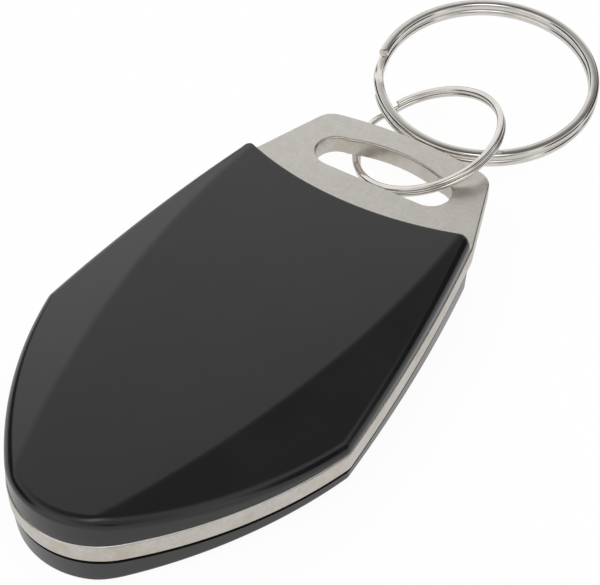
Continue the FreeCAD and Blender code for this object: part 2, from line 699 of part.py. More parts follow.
def make_adhesive_pad(doc, sizes):
    """The adhesive disc that seats coil and chip board on the floor of the well."""
    body = new_body(doc, "coil_adhesive_pad", sizes["floor_thickness"])
    plan = Drawing(body, "PadPlan")
    plan.circle(0, -sizes["coil_offset"], sizes["pad_radius"])
    pad(body, plan, "Disc", sizes["pad_thickness"])
    return body


def make_coil(doc, sizes):
    """The air-cored antenna coil."""
    body = new_body(doc, "antenna_coil", sizes["floor_thickness"] + sizes["pad_thickness"])
    plan = Drawing(body, "CoilPlan")
    plan.circle(0, -sizes["coil_offset"], sizes["coil_radius"])
    plan.circle(0, -sizes["coil_offset"], sizes["coil_bore_radius"])
    pad(body, plan, "Winding", sizes["coil_thickness"])
    return body


def make_chip_board(doc, sizes):
    """The small board in the middle of the coil."""
    body = new_body(doc, "chip_board", sizes["floor_thickness"] + sizes["pad_thickness"])
    plan = Drawing(body, "BoardPlan")
    across, along = sizes["board_length"] / 2, sizes["board_width"] / 2
    middle_y = -sizes["coil_offset"]
    plan.polygon((
        (-across, middle_y - along), (across, middle_y - along),
        (across, middle_y + along), (-across, middle_y + along),
    ))
    pad(body, plan, "Board", sizes["board_thickness"])
    return body


def board_top(sizes):
    return sizes["floor_thickness"] + sizes["pad_thickness"] + sizes["board_thickness"]


def make_encapsulation(doc, sizes):
    """The drop of resin over the chip."""
    body = new_body(doc, "chip_encapsulation", board_top(sizes))
    body.Placement.Base.y = -sizes["coil_offset"].value
    body.setExpression("Placement.Base.y", (-sizes["coil_offset"]).text)
    half, height = sizes["blob_diameter"] / 2, sizes["blob_height"]
    radius = (half * half + height * height) / (height * 2)
    profile = Drawing(body, "DropProfile", plane="XZ_Plane")
    top, rim = Vector(0, height.value, 0), Vector(half.value, 0, 0)
    arc = profile.arc(Vector(0, height.value - radius.value, 0), rim, top)
    base = profile.line(Vector(0, 0, 0), rim)
    side = profile.line(top, Vector(0, 0, 0))
    profile.rule("Coincident", base, START, *ORIGIN)
    profile.place(base, END, half, 0)
    profile.rule("Coincident", base, END, arc, START)
    profile.rule("Coincident", arc, END, side, START)
    profile.rule("Coincident", side, END, base, START)
    profile.size("DistanceY", (*ORIGIN, side, START), height)
    profile.size("Radius", (arc,), radius)
    drop = body.newObject("PartDesign::Revolution", "Drop")
    drop.Profile = profile.sketch
    drop.ReferenceAxis = (profile.sketch, ["V_Axis"])
    drop.Angle = 360
    doc.recompute()
    return body


def bind(item, name, size):
    """Sets a property to a size and keeps it tied to the sheet."""
    setattr(item, name, size.value)
    item.setExpression(name, size.text)


def put(item, across, along, up):
    """Places an object by three sizes."""
    base = [Size.of(size) for size in (across, along, up)]
    item.Placement = Placement(Vector(*(size.value for size in base)), item.Placement.Rotation)
    for axis, size in zip("xyz", base):
        item.setExpression(f"Placement.Base.{axis}", size.text)


def make_solder_joints(doc, sizes):
    """Two cones of solder, one at each end of the board."""
    cones = []
    for word, side in SIDES:
        cone = doc.addObject("Part::Cone", f"Solder{word}")
        bind(cone, "Radius1", sizes["solder_diameter"] / 2)
        bind(cone, "Radius2", sizes["solder_tip_diameter"] / 2)
        bind(cone, "Height", sizes["solder_height"])
        put(cone, sizes["solder_reach"] * side, -sizes["coil_offset"], board_top(sizes))
        cones.append(cone)
    joints = doc.addObject("Part::Compound", "solder_joints")
    joints.Links = cones
    doc.recompute()
    return joints


def make_coil_leads(doc, sizes, coil, solder):
    """The coil's two ends, each from the winding's inner wall to its solder joint."""
    height = board_top(sizes) + sizes["lead_diameter"] / 2
    wires = []
    for word, side in SIDES:
        wire = doc.addObject("Part::Cylinder", f"Lead{word}")
        bind(wire, "Radius", sizes["lead_diameter"] / 2)
        bind(wire, "Height", sizes["coil_bore_radius"] - sizes["solder_reach"])
        wire.Placement = Placement(Vector(), Rotation(Vector(0, 1, 0), 90 * side))
        put(wire, sizes["solder_reach"] * side, -sizes["coil_offset"], height)
        wires.append(wire)
    pair = doc.addObject("Part::Compound", "LeadPair")
    pair.Links = wires
    clear = doc.addObject("Part::Cut", "LeadsClearOfSolder")
    clear.Base = pair
    clear.Tool = solder
    leads = doc.addObject("Part::Cut", "coil_leads")
    leads.Base = clear
    leads.Tool = coil
    doc.recompute()
    return leads


def wire_section(radius, width, height, rounding):
    """The wire's outline at azimuth 0, square on the turn: a rectangle with round corners."""
    corner = min(rounding, MOST_ROUNDING_SHARE * height)
    x, z = width / 2, height / 2
    arc_offset = corner * (1 - math.sqrt(0.5))
    edges = []
    corners = ((1, 1), (-1, 1), (-1, -1), (1, -1))
    for (sx, sz), (nx, nz) in zip(corners, corners[1:] + corners[:1]):
        vertical_end = Vector(radius + sx * x, 0, sz * (z - corner))
        level_end = Vector(radius + sx * (x - corner), 0, sz * z)
        between = Vector(radius + sx * (x - arc_offset), 0, sz * (z - arc_offset))
        first, last = (vertical_end, level_end) if sx == sz else (level_end, vertical_end)
        edges.append(Part.Arc(first, between, last).toShape())
        if sx == sz:
            following = Vector(radius + nx * (x - corner), 0, nz * z)
        else:
            following = Vector(radius + nx * x, 0, nz * (z - corner))
        edges.append(Part.LineSegment(last, following).toShape())
    return Part.Wire(edges)


def turned(shape, degrees, rise):
    """A copy turned about the ring's axis and raised along it."""
    copy = shape.copy()
    copy.rotate(Vector(0, 0, 0), Vector(0, 0, 1), degrees)
    copy.translate(Vector(0, 0, rise))
    return copy


def split_ring(diameter, width, height, gap, rounding, split_angle, step_angle, end_angle):
    """Two flat turns of one wire, joined by a step, with a free end on either side of the step."""
    radius = (diameter - width) / 2
    lift = (height + gap) / 2
    section = wire_section(radius, width, height, rounding)
    run = 360 - step_angle - end_angle
    axis = Vector(0, 0, 1)
    step_start = split_angle + end_angle
    step_end = step_start + step_angle
    lower_start = step_start - run
    lower = turned(Part.Face(section), lower_start, -lift).revolve(Vector(0, 0, 0), axis, run)
    upper = turned(Part.Face(section), step_end, lift).revolve(Vector(0, 0, 0), axis, run)
    sections = []
    for i in range(STEP_SECTIONS + 1):
        share = i / STEP_SECTIONS
        rise = lift * (2 * share * share * (3 - 2 * share) - 1)
        sections.append(turned(section, step_start + step_angle * share, rise))
    step = Part.makeLoft(sections, True, True)
    ring = lower.fuse([step, upper])
    return ring.Solids[0] if len(ring.Solids) == 1 else ring


def make_ring(doc, sizes, name, centre):
    """A split ring at its seat, lying in the plane that its two lean angles give."""
    value = {alias: size.value for alias, size in sizes.items()}
    ring = doc.addObject("Part::Feature", f"{name}_split_ring")
    ring.Shape = split_ring(
        value[f"{name}_ring_diameter"], value[f"{name}_wire_width"], value[f"{name}_wire_height"],
        value["turn_gap"], value["wire_rounding"], value[f"{name}_split_angle"],
        value[f"{name}_step_angle"], value["wire_end_angle"],
    )
    side_slope, back_slope = (
        math.tan(math.radians(value[f"{name}_{way}_angle"])) for way in ("side", "back")
    )
    normal = Vector(-side_slope, -back_slope, 1)
    ring.Placement = Placement(
        Vector(*(size.value for size in centre)), Rotation(Vector(0, 0, 1), normal),
    )
    doc.recompute()
    return ring


def make_rings(doc, sizes):
    """The small ring through the slot, and the large ring through the small one."""
    tab_reach = sizes["tab_corner_reach"] + sizes["tab_edge_radius"] - square_root(
        sizes["tab_edge_radius"] * sizes["tab_edge_radius"]
        - sizes["tab_half_width"] * sizes["tab_half_width"],
    )
    plate_middle = sizes["lower_depth"] + sizes["plate_thickness"] / 2
    small_centre = (
        sizes["small_ring_side"],
        sizes["slot_reach"] + sizes["small_ring_gap"] + sizes["small_ring_diameter"] / 2,
        plate_middle + sizes["small_ring_lift"],
    )
    large_centre = (
        sizes["large_ring_side"],
        tab_reach + sizes["large_ring_gap"] + sizes["large_ring_diameter"] / 2,
        plate_middle + sizes["large_ring_lift"],
    )
    return [
        make_ring(doc, sizes, "small", small_centre), make_ring(doc, sizes, "large", large_centre),
    ]


def check(doc, pieces):
    """Stops before anything is written if an object failed or a piece is no sound solid."""
    for item in doc.Objects:
        if "Invalid" in item.State or "Error" in item.State:
            raise RuntimeError(f"{item.Label} failed: {item.State}")
    for piece in pieces:
        if piece.Shape.isNull() or not piece.Shape.isValid() or not piece.Shape.Solids:
            raise RuntimeError(f"{piece.Label} is not a sound solid")


def main():
    doc = FreeCAD.newDocument("KeyFob")
    sizes = make_sheet(doc)
    outline = Outline(sizes)
    coil = make_coil(doc, sizes)
    solder = make_solder_joints(doc, sizes)
    pieces = [
        make_upper_shell(doc, sizes, outline),
        make_lower_shell(doc, sizes, outline),
        make_metal_frame(doc, sizes, outline),
        make_adhesive_pad(doc, sizes),
        coil,
        make_chip_board(doc, sizes),
        make_encapsulation(doc, sizes),
        solder,
        make_coil_leads(doc, sizes, coil, solder),
        *make_rings(doc, sizes),
    ]
    doc.recompute()
    check(doc, pieces)
    os.makedirs("parts", exist_ok=True)
    for piece in pieces:
        piece.Shape.exportStep(f"parts/{piece.Label}.step")
        print(piece.Label, len(piece.Shape.Solids), round(piece.Shape.Volume, 3))


main()
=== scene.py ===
"""Looks of a proximity key fob: two moulded covers round a metal loop plate, on two split rings.

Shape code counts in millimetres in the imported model's frame: +X to the right, +Y from the nose to the
rings, +Z up. Finished meshes are in metres.
"""

from __future__ import annotations

import logging
import math
from collections.abc import Sequence
from dataclasses import dataclass, field, replace
from enum import Enum

import bmesh
import bpy
import numpy as np
from mathutils import Matrix, Vector

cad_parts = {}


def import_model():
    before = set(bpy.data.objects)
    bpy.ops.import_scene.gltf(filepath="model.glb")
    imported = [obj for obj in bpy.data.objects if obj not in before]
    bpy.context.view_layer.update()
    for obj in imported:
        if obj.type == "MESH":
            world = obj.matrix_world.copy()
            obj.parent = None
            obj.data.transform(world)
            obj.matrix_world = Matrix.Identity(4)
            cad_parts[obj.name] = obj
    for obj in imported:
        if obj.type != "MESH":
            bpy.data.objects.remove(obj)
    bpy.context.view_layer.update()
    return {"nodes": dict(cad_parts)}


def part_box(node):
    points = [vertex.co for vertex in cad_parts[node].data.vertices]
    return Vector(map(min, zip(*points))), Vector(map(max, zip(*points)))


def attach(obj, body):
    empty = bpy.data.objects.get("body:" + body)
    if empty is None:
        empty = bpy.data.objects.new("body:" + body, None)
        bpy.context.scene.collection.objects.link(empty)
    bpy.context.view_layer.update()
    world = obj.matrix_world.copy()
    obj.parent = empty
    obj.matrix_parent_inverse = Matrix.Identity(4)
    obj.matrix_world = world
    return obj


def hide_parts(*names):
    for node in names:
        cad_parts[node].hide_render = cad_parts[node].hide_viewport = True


LOG = logging.getLogger("key_fob")
MM = 0.001
TINY = 1e-9
QUARTER = math.pi / 2
WHOLE = 2 * math.pi
QUAD = 4

Point = tuple[float, float]
Colour = tuple[float, float, float]
Ring = list[bmesh.types.BMVert]
Array = np.ndarray
Mesh = bmesh.types.BMesh
Piece = bpy.types.Object
Tree = bpy.types.NodeTree
Socket = bpy.types.NodeSocket


class Node(str, Enum):
    """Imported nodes, by name."""

    UPPER = "upper_shell"
    LOWER = "lower_shell"
    PLATE = "metal_frame"
    PAD = "coil_adhesive_pad"
    COIL = "antenna_coil"
    BOARD = "chip_board"
    RESIN = "chip_encapsulation"
    SOLDER = "solder_joints"
    LEADS = "coil_leads"
    SMALL_RING = "small_split_ring"
    LARGE_RING = "large_split_ring"


class Rider(str, Enum):
    """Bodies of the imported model, by name."""

    FOB = "fob"
    SMALL = "small_ring"
    LARGE = "large_ring"


class Slot(str, Enum):
    """The record's material slots, by name; each new piece's class names one."""

    PLASTIC = "dark_plastic"
    PLATE = "plate_metal"
    RING = "ring_metal"


# Shapes in plan


def meet(centre_a: Point, radius_a: float, centre_b: Point, radius_b: float, near: Point) -> Point:
    """Finds where two circles cross.

    Args:
        centre_a: Centre of the first circle.
        radius_a: Radius of the first circle.
        centre_b: Centre of the second circle.
        radius_b: Radius of the second circle.
        near: Point that picks one of the two crossings.

    Returns:
        The crossing nearest to the given point. Circles that only touch give the point of touch.
    """
    ax, ay = centre_a
    bx, by = centre_b
    gap = math.hypot(bx - ax, by - ay)
    along = (gap**2 + radius_a**2 - radius_b**2) / (2 * gap)
    across = math.sqrt(max(radius_a**2 - along**2, 0.0))
    ux, uy = (bx - ax) / gap, (by - ay) / gap
    found = [(ax + ux * along - uy * across * s, ay + uy * along + ux * across * s) for s in (1, -1)]
    return min(found, key=lambda point: math.dist(point, near))


def bearing(centre: Point, point: Point) -> float:
    """Angle of a point as seen from a centre, in radians."""
    return math.atan2(point[1] - centre[1], point[0] - centre[0])


def mirror(point: Point) -> Point:
    """The same point on the other side of the fob's middle."""
    return (-point[0], point[1])


def arc_centre(start: Point, end: Point, radius: float) -> Point:
    """Finds the centre of a bulging arc, for an outline drawn anticlockwise.

    Args:
        start: The arc's start.
        end: The arc's end.
        radius: The arc's radius.

    Returns:
        The centre.
    """
    length = math.dist(start, end)
    dx, dy = (end[0] - start[0]) / length, (end[1] - start[1]) / length
    rise = math.sqrt(radius**2 - (length / 2) ** 2)
    return ((start[0] + end[0]) / 2 - dy * rise, (start[1] + end[1]) / 2 + dx * rise)


@dataclass(frozen=True)
class Edge:
    """One stretch of a closed outline, as part of a circle.

    Attributes:
        centre: The circle's centre.
        radius: The circle's radius.
        end: The outline's corner where this stretch ends.
        steps: How many spans the stretch is drawn with.
        rounding: Radius that rounds the corner at its end.
        convex: Whether the circle's centre lies on the inner side.
        marks: Angles about the centre at which a point of the outline must lie, in drawing order.
    """

    centre: Point
    radius: float
    end: Point
    steps: int
    rounding: float = 0.0
    convex: bool = True
    marks: tuple[float, ...] = ()

    def radius_at(self, inset: float) -> float:
        """Radius of the same stretch set in by a distance."""
        return self.radius - inset if self.convex else self.radius + inset

    def counts(self, first: float, last: float) -> list[int]:
        """Shares out the stretch's spans between its marks.

        Args:
            first: Angle of the stretch's start.
            last: Angle of its end.

        Returns:
            Spans of each part.
        """
        stops = [first, *self.marks, last]
        turns = [abs(turn_between(a, b, self.convex)) for a, b in zip(stops, stops[1:])]
        return [max(1, round(turn / sum(turns) * self.steps)) for turn in turns]

    def angles(self, first: float, last: float, counts: Sequence[int]) -> list[float]:
        """Finds where the stretch's points lie. Marks outside the stretch are left out.

        Args:
            first: Angle of the stretch's start.
            last: Angle of its end.
            counts: Spans of each part between its marks.

        Returns:
            Angles of the points after the first one.
        """
        stops = [first, *self.marks, last]
        turns = [turn_between(a, b, self.convex) for a, b in zip(stops, stops[1:])]
        if abs(sum(turns)) > WHOLE:
            total, turn = sum(counts), turn_between(first, last, self.convex)
            return [first + turn * step / total for step in range(1, total + 1)]
        found: list[float] = []
        for before, turn, steps in zip(stops, turns, counts):
            found.extend(before + turn * step / steps for step in range(1, steps + 1))
        return found


def turn_between(first: float, last: float, convex: bool) -> float:
    """Sweep from one angle to another: anticlockwise on a convex stretch, else clockwise."""
    turn = (last - first) % WHOLE
    return turn if convex else turn - WHOLE


LEAST_ROUNDING = 0.03
STRAIGHT_RADIUS = 4000.0
INSET_LEVELS = 9

# Spans that each kind of edge is drawn with
ROUNDING_STEPS = 8
SIDE_STEPS = 60
NOSE_STEPS = 56
END_STEPS = 70
TAB_SIDE_STEPS = 12
TAB_END_STEPS = 40
STRAIGHT_STEPS = 20
SLOT_END_STEPS = 24
SLOT_BOW_STEPS = 30


@dataclass(frozen=True)
class Loop:
    """Points of a closed outline with their outward directions."""

    points: Array
    outward: Array


@dataclass(frozen=True)
class Outline:
    """A closed outline of circle parts, drawn anticlockwise."""

    edges: tuple[Edge, ...]

    def loop(self, inset: float) -> Loop:
        """Draws the outline set in by a distance.

        Args:
            inset: Distance towards the inner side. Below zero it grows.

        Returns:
            The loop. Loops of one outline have the same number of points, in the same order.
        """
        corners = [self._corner(index, inset) for index in range(len(self.edges))]
        counts = self._counts()
        points: list[Point] = []
        outward: list[Point] = []
        for index, edge in enumerate(self.edges):
            span = (corners[index - 1][-1], corners[index][0])
            self._sweep(points, outward, edge, span, counts[index])
            if len(corners[index]) > 1:
                first, centre, last = corners[index]
                turn = Edge(centre, math.dist(centre, first), last, ROUNDING_STEPS)
                self._sweep(points, outward, turn, (first, last), [ROUNDING_STEPS])
        return Loop(np.array(points), np.array(outward))

    def _counts(self) -> list[list[int]]:
        """Shares out the spans of every stretch, from the outline at full size.

        Returns:
            Spans of each stretch's parts.
        """
        corners = [self._corner(index, 0.0) for index in range(len(self.edges))]
        return [
            edge.counts(bearing(edge.centre, corners[i - 1][-1]), bearing(edge.centre, corners[i][0]))
            for i, edge in enumerate(self.edges)
        ]

    def _corner(self, index: int, inset: float) -> list[Point]:
        """Finds the corner after an edge.

        Args:
            index: The edge's number.
            inset: Distance towards the inner side.

        Returns:
            One point, or a rounding's start, centre and end.
        """
        edge = self.edges[index]
        following = self.edges[(index + 1) % len(self.edges)]
        if edge.rounding <= 0:
            radii = edge.radius_at(inset), following.radius_at(inset)
            return [meet(edge.centre, radii[0], following.centre, radii[1], edge.end)]
        rounding = max(edge.rounding - inset, LEAST_ROUNDING)
        deep = inset + rounding
        centre = meet(
            edge.centre, edge.radius_at(deep), following.centre, following.radius_at(deep), edge.end
        )
        touches = []
        for side in (edge, following):
            share = side.radius_at(inset) / math.dist(centre, side.centre)
            touches.append(tuple(c + (p - c) * share for c, p in zip(side.centre, centre)))
        return [touches[0], centre, touches[1]]

    @staticmethod
    def _sweep(
        points: list[Point],
        outward: list[Point],
        edge: Edge,
        span: tuple[Point, Point],
        counts: Sequence[int],
    ) -> None:
        """Adds the points of an arc after its first one.

        Args:
            points: The outline's points so far.
            outward: Their outward directions.
            edge: The arc.
            span: Its first and last point.
            counts: Spans of each of its parts.
        """
        start, end = span
        radius = math.dist(start, edge.centre)
        sign = 1.0 if edge.convex else -1.0
        for angle in edge.angles(bearing(edge.centre, start), bearing(edge.centre, end), counts):
            ray = (math.cos(angle), math.sin(angle))
            points.append((edge.centre[0] + radius * ray[0], edge.centre[1] + radius * ray[1]))
            outward.append((sign * ray[0], sign * ray[1]))

    def spread(self, value: float, end_value: float) -> Array:
        """Sets one value along the convex stretches and another along the hollow one.

        Args:
            value: The value on the convex stretches.
            end_value: The value on the hollow one.

        Returns:
            A value for each point, with soft changes on the roundings between them.
        """
        values: list[float] = []
        for edge, counts in zip(self.edges, self._counts(), strict=True):
            values.extend([value if edge.convex else end_value] * sum(counts))
            if edge.rounding > 0:
                values.extend([math.nan] * ROUNDING_STEPS)
        found = np.array(values)
        known = ~np.isnan(found)
        index = np.arange(len(found))
        return np.interp(index, index[known], found[known], period=len(found))

    def points_at(self, insets: Array) -> Array:
        """Finds the outline's points, each set in by its own distance.

        Args:
            insets: The distance at each point.

        Returns:
            The points.
        """
        low, high = float(np.min(insets)), float(np.max(insets))
        if high - low < TINY:
            return self.loop(low).points
        levels = np.linspace(low, high, INSET_LEVELS)
        loops = np.array([self.loop(level).points for level in levels])
        place = (insets - low) / (high - low) * (len(levels) - 1)
        below = np.minimum(place.astype(int), len(levels) - 2)
        share = (place - below)[:, None]
        index = np.arange(len(insets))
        return loops[below, index] * (1 - share) + loops[below + 1, index] * share


@dataclass(frozen=True)
class FobPlan:
    """The fob seen from above."""

    nose_reach: float = 23.33
    nose_radius: float = 8.2
    side_radius: float = 42.0
    shoulder: Point = (16.0, -3.46)
    shoulder_rounding: float = 1.5
    flank_radius: float = 190.0
    corner: Point = (12.7, 23.5)
    corner_rounding: float = 0.9
    end_edge_radius: float = 32.5
    tab_root_rounding: float = 0.4
    tab_corner: Point = (9.4, 33.2)
    tab_rounding: float = 2.2
    tab_edge_radius: float = 42.6
    slot_reach: float = 26.15
    slot_half_straight: float = 5.3
    slot_end_radius: float = 2.15
    slot_far_radius: float = 14.5
    plate_band: float = 3.0
    window_reach: float = 13.0

    def _front(self) -> tuple[Point, Point, Point]:
        """Fits the circles of the nose and the right side to each other.

        Returns:
            Centres of the nose and the right side, and the point where they join.
        """
        nose = (0.0, self.nose_radius - self.nose_reach)
        inner = self.side_radius - self.nose_radius
        side = meet(nose, inner, self.shoulder, self.side_radius, (-self.side_radius, 0.0))
        share = self.side_radius / math.dist(nose, side)
        return nose, side, tuple(s + (n - s) * share for s, n in zip(side, nose))

    def _sides(
        self, close: Sequence[Edge], end: Point, rounding: float, marks: tuple[float, ...] = ()
    ) -> Outline:
        """Nose, sides and flanks with the edges that close the outline.

        Args:
            close: Edges from the right flank's end to the left flank's end.
            end: The right flank's end.
            rounding: Rounding of the corner there.
            marks: Angles on the nose at which a point must lie.

        Returns:
            The outline.
        """
        nose, side, joint = self._front()
        flank = arc_centre(self.shoulder, self.corner, self.flank_radius)
        soft = self.shoulder_rounding
        return Outline((
            Edge(side, self.side_radius, self.shoulder, SIDE_STEPS, soft),
            Edge(flank, self.flank_radius, end, SIDE_STEPS, rounding),
            *close,
            Edge(mirror(flank), self.flank_radius, mirror(self.shoulder), SIDE_STEPS, soft),
            Edge(mirror(side), self.side_radius, mirror(joint), SIDE_STEPS),
            Edge(nose, self.nose_radius, joint, NOSE_STEPS, marks=marks),
        ))

    def end_centre(self) -> Point:
        """Centre of the hollow edge at the tab end."""
        return (0.0, self.corner[1] + math.sqrt(self.end_edge_radius**2 - self.corner[0] ** 2))

    def shell(
        self, creases: Sequence[tuple[Point, float]], nose_inset: float, end_inset: float
    ) -> Outline:
        """The covers' outline before they are set in.

        Args:
            creases: Circles that the broad face's lines follow, right and left.
            nose_inset: How far in from the nose those lines start.
            end_inset: How far in from the tab end they stop.

        Returns:
            The outline, with a point wherever such a line meets the broad face's border.
        """
        nose, _, _ = self._front()
        end = self.end_centre()
        hollow = Edge(
            end, self.end_edge_radius, mirror(self.corner), END_STEPS, self.corner_rounding, convex=False
        )
        plain = self._sides([hollow], self.corner, self.corner_rounding)
        border = plain.loop(end_inset).points
        arc = hollow.radius_at(end_inset)
        reach = max(abs(x) for x, y in border if abs(math.dist((x, y), end) - arc) < TINY)
        nose_marks, end_marks = [], []
        for centre, radius in creases:
            side = math.copysign(1.0, -centre[0])
            low = meet(nose, self.nose_radius - nose_inset, centre, radius, (0.0, -self.nose_reach))
            far = (side * self.corner[0], self.corner[1])
            high = meet(end, arc, centre, radius, far)
            nose_marks.append(bearing(nose, low))
            if abs(high[0]) < reach:
                end_marks.append(bearing(end, high))
        marked = replace(hollow, marks=tuple(sorted(end_marks, reverse=True)))
        return self._sides([marked], self.corner, self.corner_rounding, tuple(sorted(nose_marks)))

    def plate(self) -> Outline:
        """Draws the plate with its tab.

        Returns:
            The outline.
        """
        far, root = self.tab_corner, self.tab_root_rounding
        side = arc_centre(self.corner, far, STRAIGHT_RADIUS)
        top = arc_centre(far, mirror(far), self.tab_edge_radius)
        close = (
            Edge(side, STRAIGHT_RADIUS, far, TAB_SIDE_STEPS, self.tab_rounding),
            Edge(top, self.tab_edge_radius, mirror(far), TAB_END_STEPS, self.tab_rounding),
            Edge(mirror(side), STRAIGHT_RADIUS, mirror(self.corner), TAB_SIDE_STEPS, root),
        )
        return self._sides(close, self.corner, root)

    def window(self) -> Outline:
        """Draws the plate's window.

        Returns:
            The outline, before it is set in by the width of the band.
        """
        reach = self.window_reach + self.plate_band
        end = (self.corner[0], reach)
        straight = arc_centre(end, mirror(end), STRAIGHT_RADIUS)
        return self._sides([Edge(straight, STRAIGHT_RADIUS, mirror(end), STRAIGHT_STEPS)], end, 0.0)

    def slot(self) -> Outline:
        """Draws the ring slot.

        Returns:
            The outline.
        """
        half, radius = self.slot_half_straight, self.slot_end_radius
        near, far = (half, self.slot_reach), (half, self.slot_reach + 2 * radius)
        centre = (half, self.slot_reach + radius)
        bow = arc_centre(far, mirror(far), self.slot_far_radius)
        straight = arc_centre(mirror(near), near, STRAIGHT_RADIUS)
        return Outline((
            Edge(straight, STRAIGHT_RADIUS, near, STRAIGHT_STEPS),
            Edge(centre, radius, far, SLOT_END_STEPS),
            Edge(bow, self.slot_far_radius, mirror(far), SLOT_BOW_STEPS),
            Edge(mirror(centre), radius, mirror(near), SLOT_END_STEPS),
        ))


# Shaping


def unit(vectors: Array) -> Array:
    """The same directions at length one."""
    return vectors / np.linalg.norm(vectors, axis=-1, keepdims=True)


def leaned(outward: Array, rise: float) -> Array:
    """Directions that point outwards and up by an angle in radians."""
    level = np.full((len(outward), 1), math.sin(rise))
    return np.hstack([outward * math.cos(rise), level])


def bevel(mesh: Mesh, geom: list, offset: float, segments: int, affect: str = "EDGES") -> None:
    """Rounds edges or corners.

    Args:
        mesh: The mesh.
        geom: The edges or vertices.
        offset: Width of the rounding.
        segments: Its steps.
        affect: EDGES or VERTICES.
    """
    bmesh.ops.bevel(
        mesh, geom=geom, offset=offset, segments=segments, affect=affect, profile=0.5, material=-1
    )


def finished(name: str, mesh: Mesh) -> Piece:
    """Turns a mesh into an object in the scene.

    Args:
        name: The object's name.
        mesh: The mesh in metres.

    Returns:
        The object.
    """
    data = bpy.data.meshes.new(name)
    mesh.to_mesh(data)
    mesh.free()
    made = bpy.data.objects.new(name, data)
    bpy.context.scene.collection.objects.link(made)
    return made


class Model:
    """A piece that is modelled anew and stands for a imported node.

    Attributes:
        name: The piece's name.
        node: The node that it stands for.
        rider: The body that it moves with.
        slot: The record's slot for its material.
    """

    name: str
    node: Node
    rider: Rider
    slot: Slot

    def dress(self, piece: Piece, material: bpy.types.Material) -> None:
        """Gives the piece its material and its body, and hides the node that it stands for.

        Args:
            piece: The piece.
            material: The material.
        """
        piece.data.materials.append(material)
        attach(piece, self.rider.value)
        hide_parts(self.node.value)


class Shaper:
    """A bmesh that grows ring by ring, and keeps the curved surface's direction at each vertex."""

    def __init__(self) -> None:
        """Starts an empty mesh."""
        self.mesh = bmesh.new()
        self.shading = self.mesh.verts.layers.float_vector.new("shading")

    def start(self, count: int) -> Ring:
        """Starts a closed ring of vertices.

        Args:
            count: How many vertices it has.

        Returns:
            The ring, in order round it.
        """
        made = bmesh.ops.create_circle(self.mesh, segments=count, radius=MM)
        first = made["verts"][0]
        ring, edge = [first], first.link_edges[0]
        while edge.other_vert(ring[-1]) is not first:
            ring.append(edge.other_vert(ring[-1]))
            edge = next(item for item in ring[-1].link_edges if item is not edge)
        return ring

    def place(self, ring: Ring, points: Array, heights: Array | float, facing: Array) -> None:
        """Moves a ring.

        Args:
            ring: The ring.
            points: Each vertex's place in plan.
            heights: Each vertex's height, or one for all.
            facing: Direction of the curved surface at each vertex.
        """
        levels = np.broadcast_to(heights, (len(ring),))
        for vert, (x, y), z, direction in zip(ring, points, levels, facing, strict=True):
            vert.co = (x * MM, y * MM, z * MM)
            vert[self.shading] = direction

    def edges(self, ring: Ring) -> list[bmesh.types.BMEdge]:
        """The edges round a ring."""
        return [self.mesh.edges.get((vert, ring[index - 1])) for index, vert in enumerate(ring)]

    def grow(self, ring: Ring, curved: bool = True) -> Ring:
        """Extrudes a ring.

        Args:
            ring: The ring to extrude.
            curved: Whether the new faces are part of a curved surface, or flat.

        Returns:
            The new ring, vertex by vertex beside the old one.
        """
        made = bmesh.ops.extrude_edge_only(self.mesh, edges=self.edges(ring))["geom"]
        fresh = {item for item in made if isinstance(item, bmesh.types.BMVert)}
        for item in made:
            if isinstance(item, bmesh.types.BMFace):
                item.smooth = curved
        return [
            next(edge.other_vert(vert) for edge in vert.link_edges if edge.other_vert(vert) in fresh)
            for vert in ring
        ]

    def close(self, *rings: Ring) -> list[bmesh.types.BMFace]:
        """Fills the space inside the first ring and outside the others.

        Args:
            *rings: The rings, the outermost first.

        Returns:
            The flat faces.
        """
        edges = [edge for ring in rings for edge in self.edges(ring)]
        if len(rings) == 1:
            return bmesh.ops.contextual_create(self.mesh, geom=edges)["faces"]
        made = bmesh.ops.triangle_fill(self.mesh, edges=edges, use_beauty=True, normal=(0.0, 0.0, 1.0))
        return [item for item in made["geom"] if isinstance(item, bmesh.types.BMFace)]

    def cut(self, ring: Ring, line: Sequence[Vector]) -> Ring:
        """Splits the face inside a ring along a line between two of the ring's vertices.

        Args:
            ring: The ring.
            line: The line's points in metres. The ring's vertices nearest to its ends are its ends.

        Returns:
            The new vertices, in order.
        """
        ends = [min(ring, key=lambda vert: (vert.co.xy - end.xy).length) for end in (line[0], line[-1])]
        face = next(item for item in ends[0].link_faces if ends[1] in item.verts and len(item.verts) > QUAD)
        known = set(self.mesh.verts)
        bmesh.utils.face_split(face, *ends, coords=[tuple(point) for point in line[1:-1]])
        return [vert for vert in self.mesh.verts if vert not in known]

    def finish(self, name: str) -> Piece:
        """Makes the object, with its curved faces shaded by the kept directions.

        Args:
            name: The object's name.

        Returns:
            The object.
        """
        many = [face for face in self.mesh.faces if len(face.verts) > QUAD]
        bmesh.ops.triangulate(self.mesh, faces=many, quad_method="BEAUTY", ngon_method="BEAUTY")
        bmesh.ops.recalc_face_normals(self.mesh, faces=self.mesh.faces)
        normals = [
            tuple(vert[self.shading] if face.smooth else face.normal)
            for face in self.mesh.faces
            for vert in face.verts
        ]
        for face in self.mesh.faces:
            face.smooth = True
        made = finished(name, self.mesh)
        made.data.attributes.remove(made.data.attributes["shading"])
        made.data.normals_split_custom_set(normals)
        return made


# The moulded covers

RIM_STEPS = 7
WALL_STEPS = 3
CREASE_STEPS = 60
CREASE_LINES = (-1.0, -0.4, 0.0, 0.4, 1.0)
SLOPE_REACH = 0.01
Step = tuple[Array, Array | float, Array, bool]


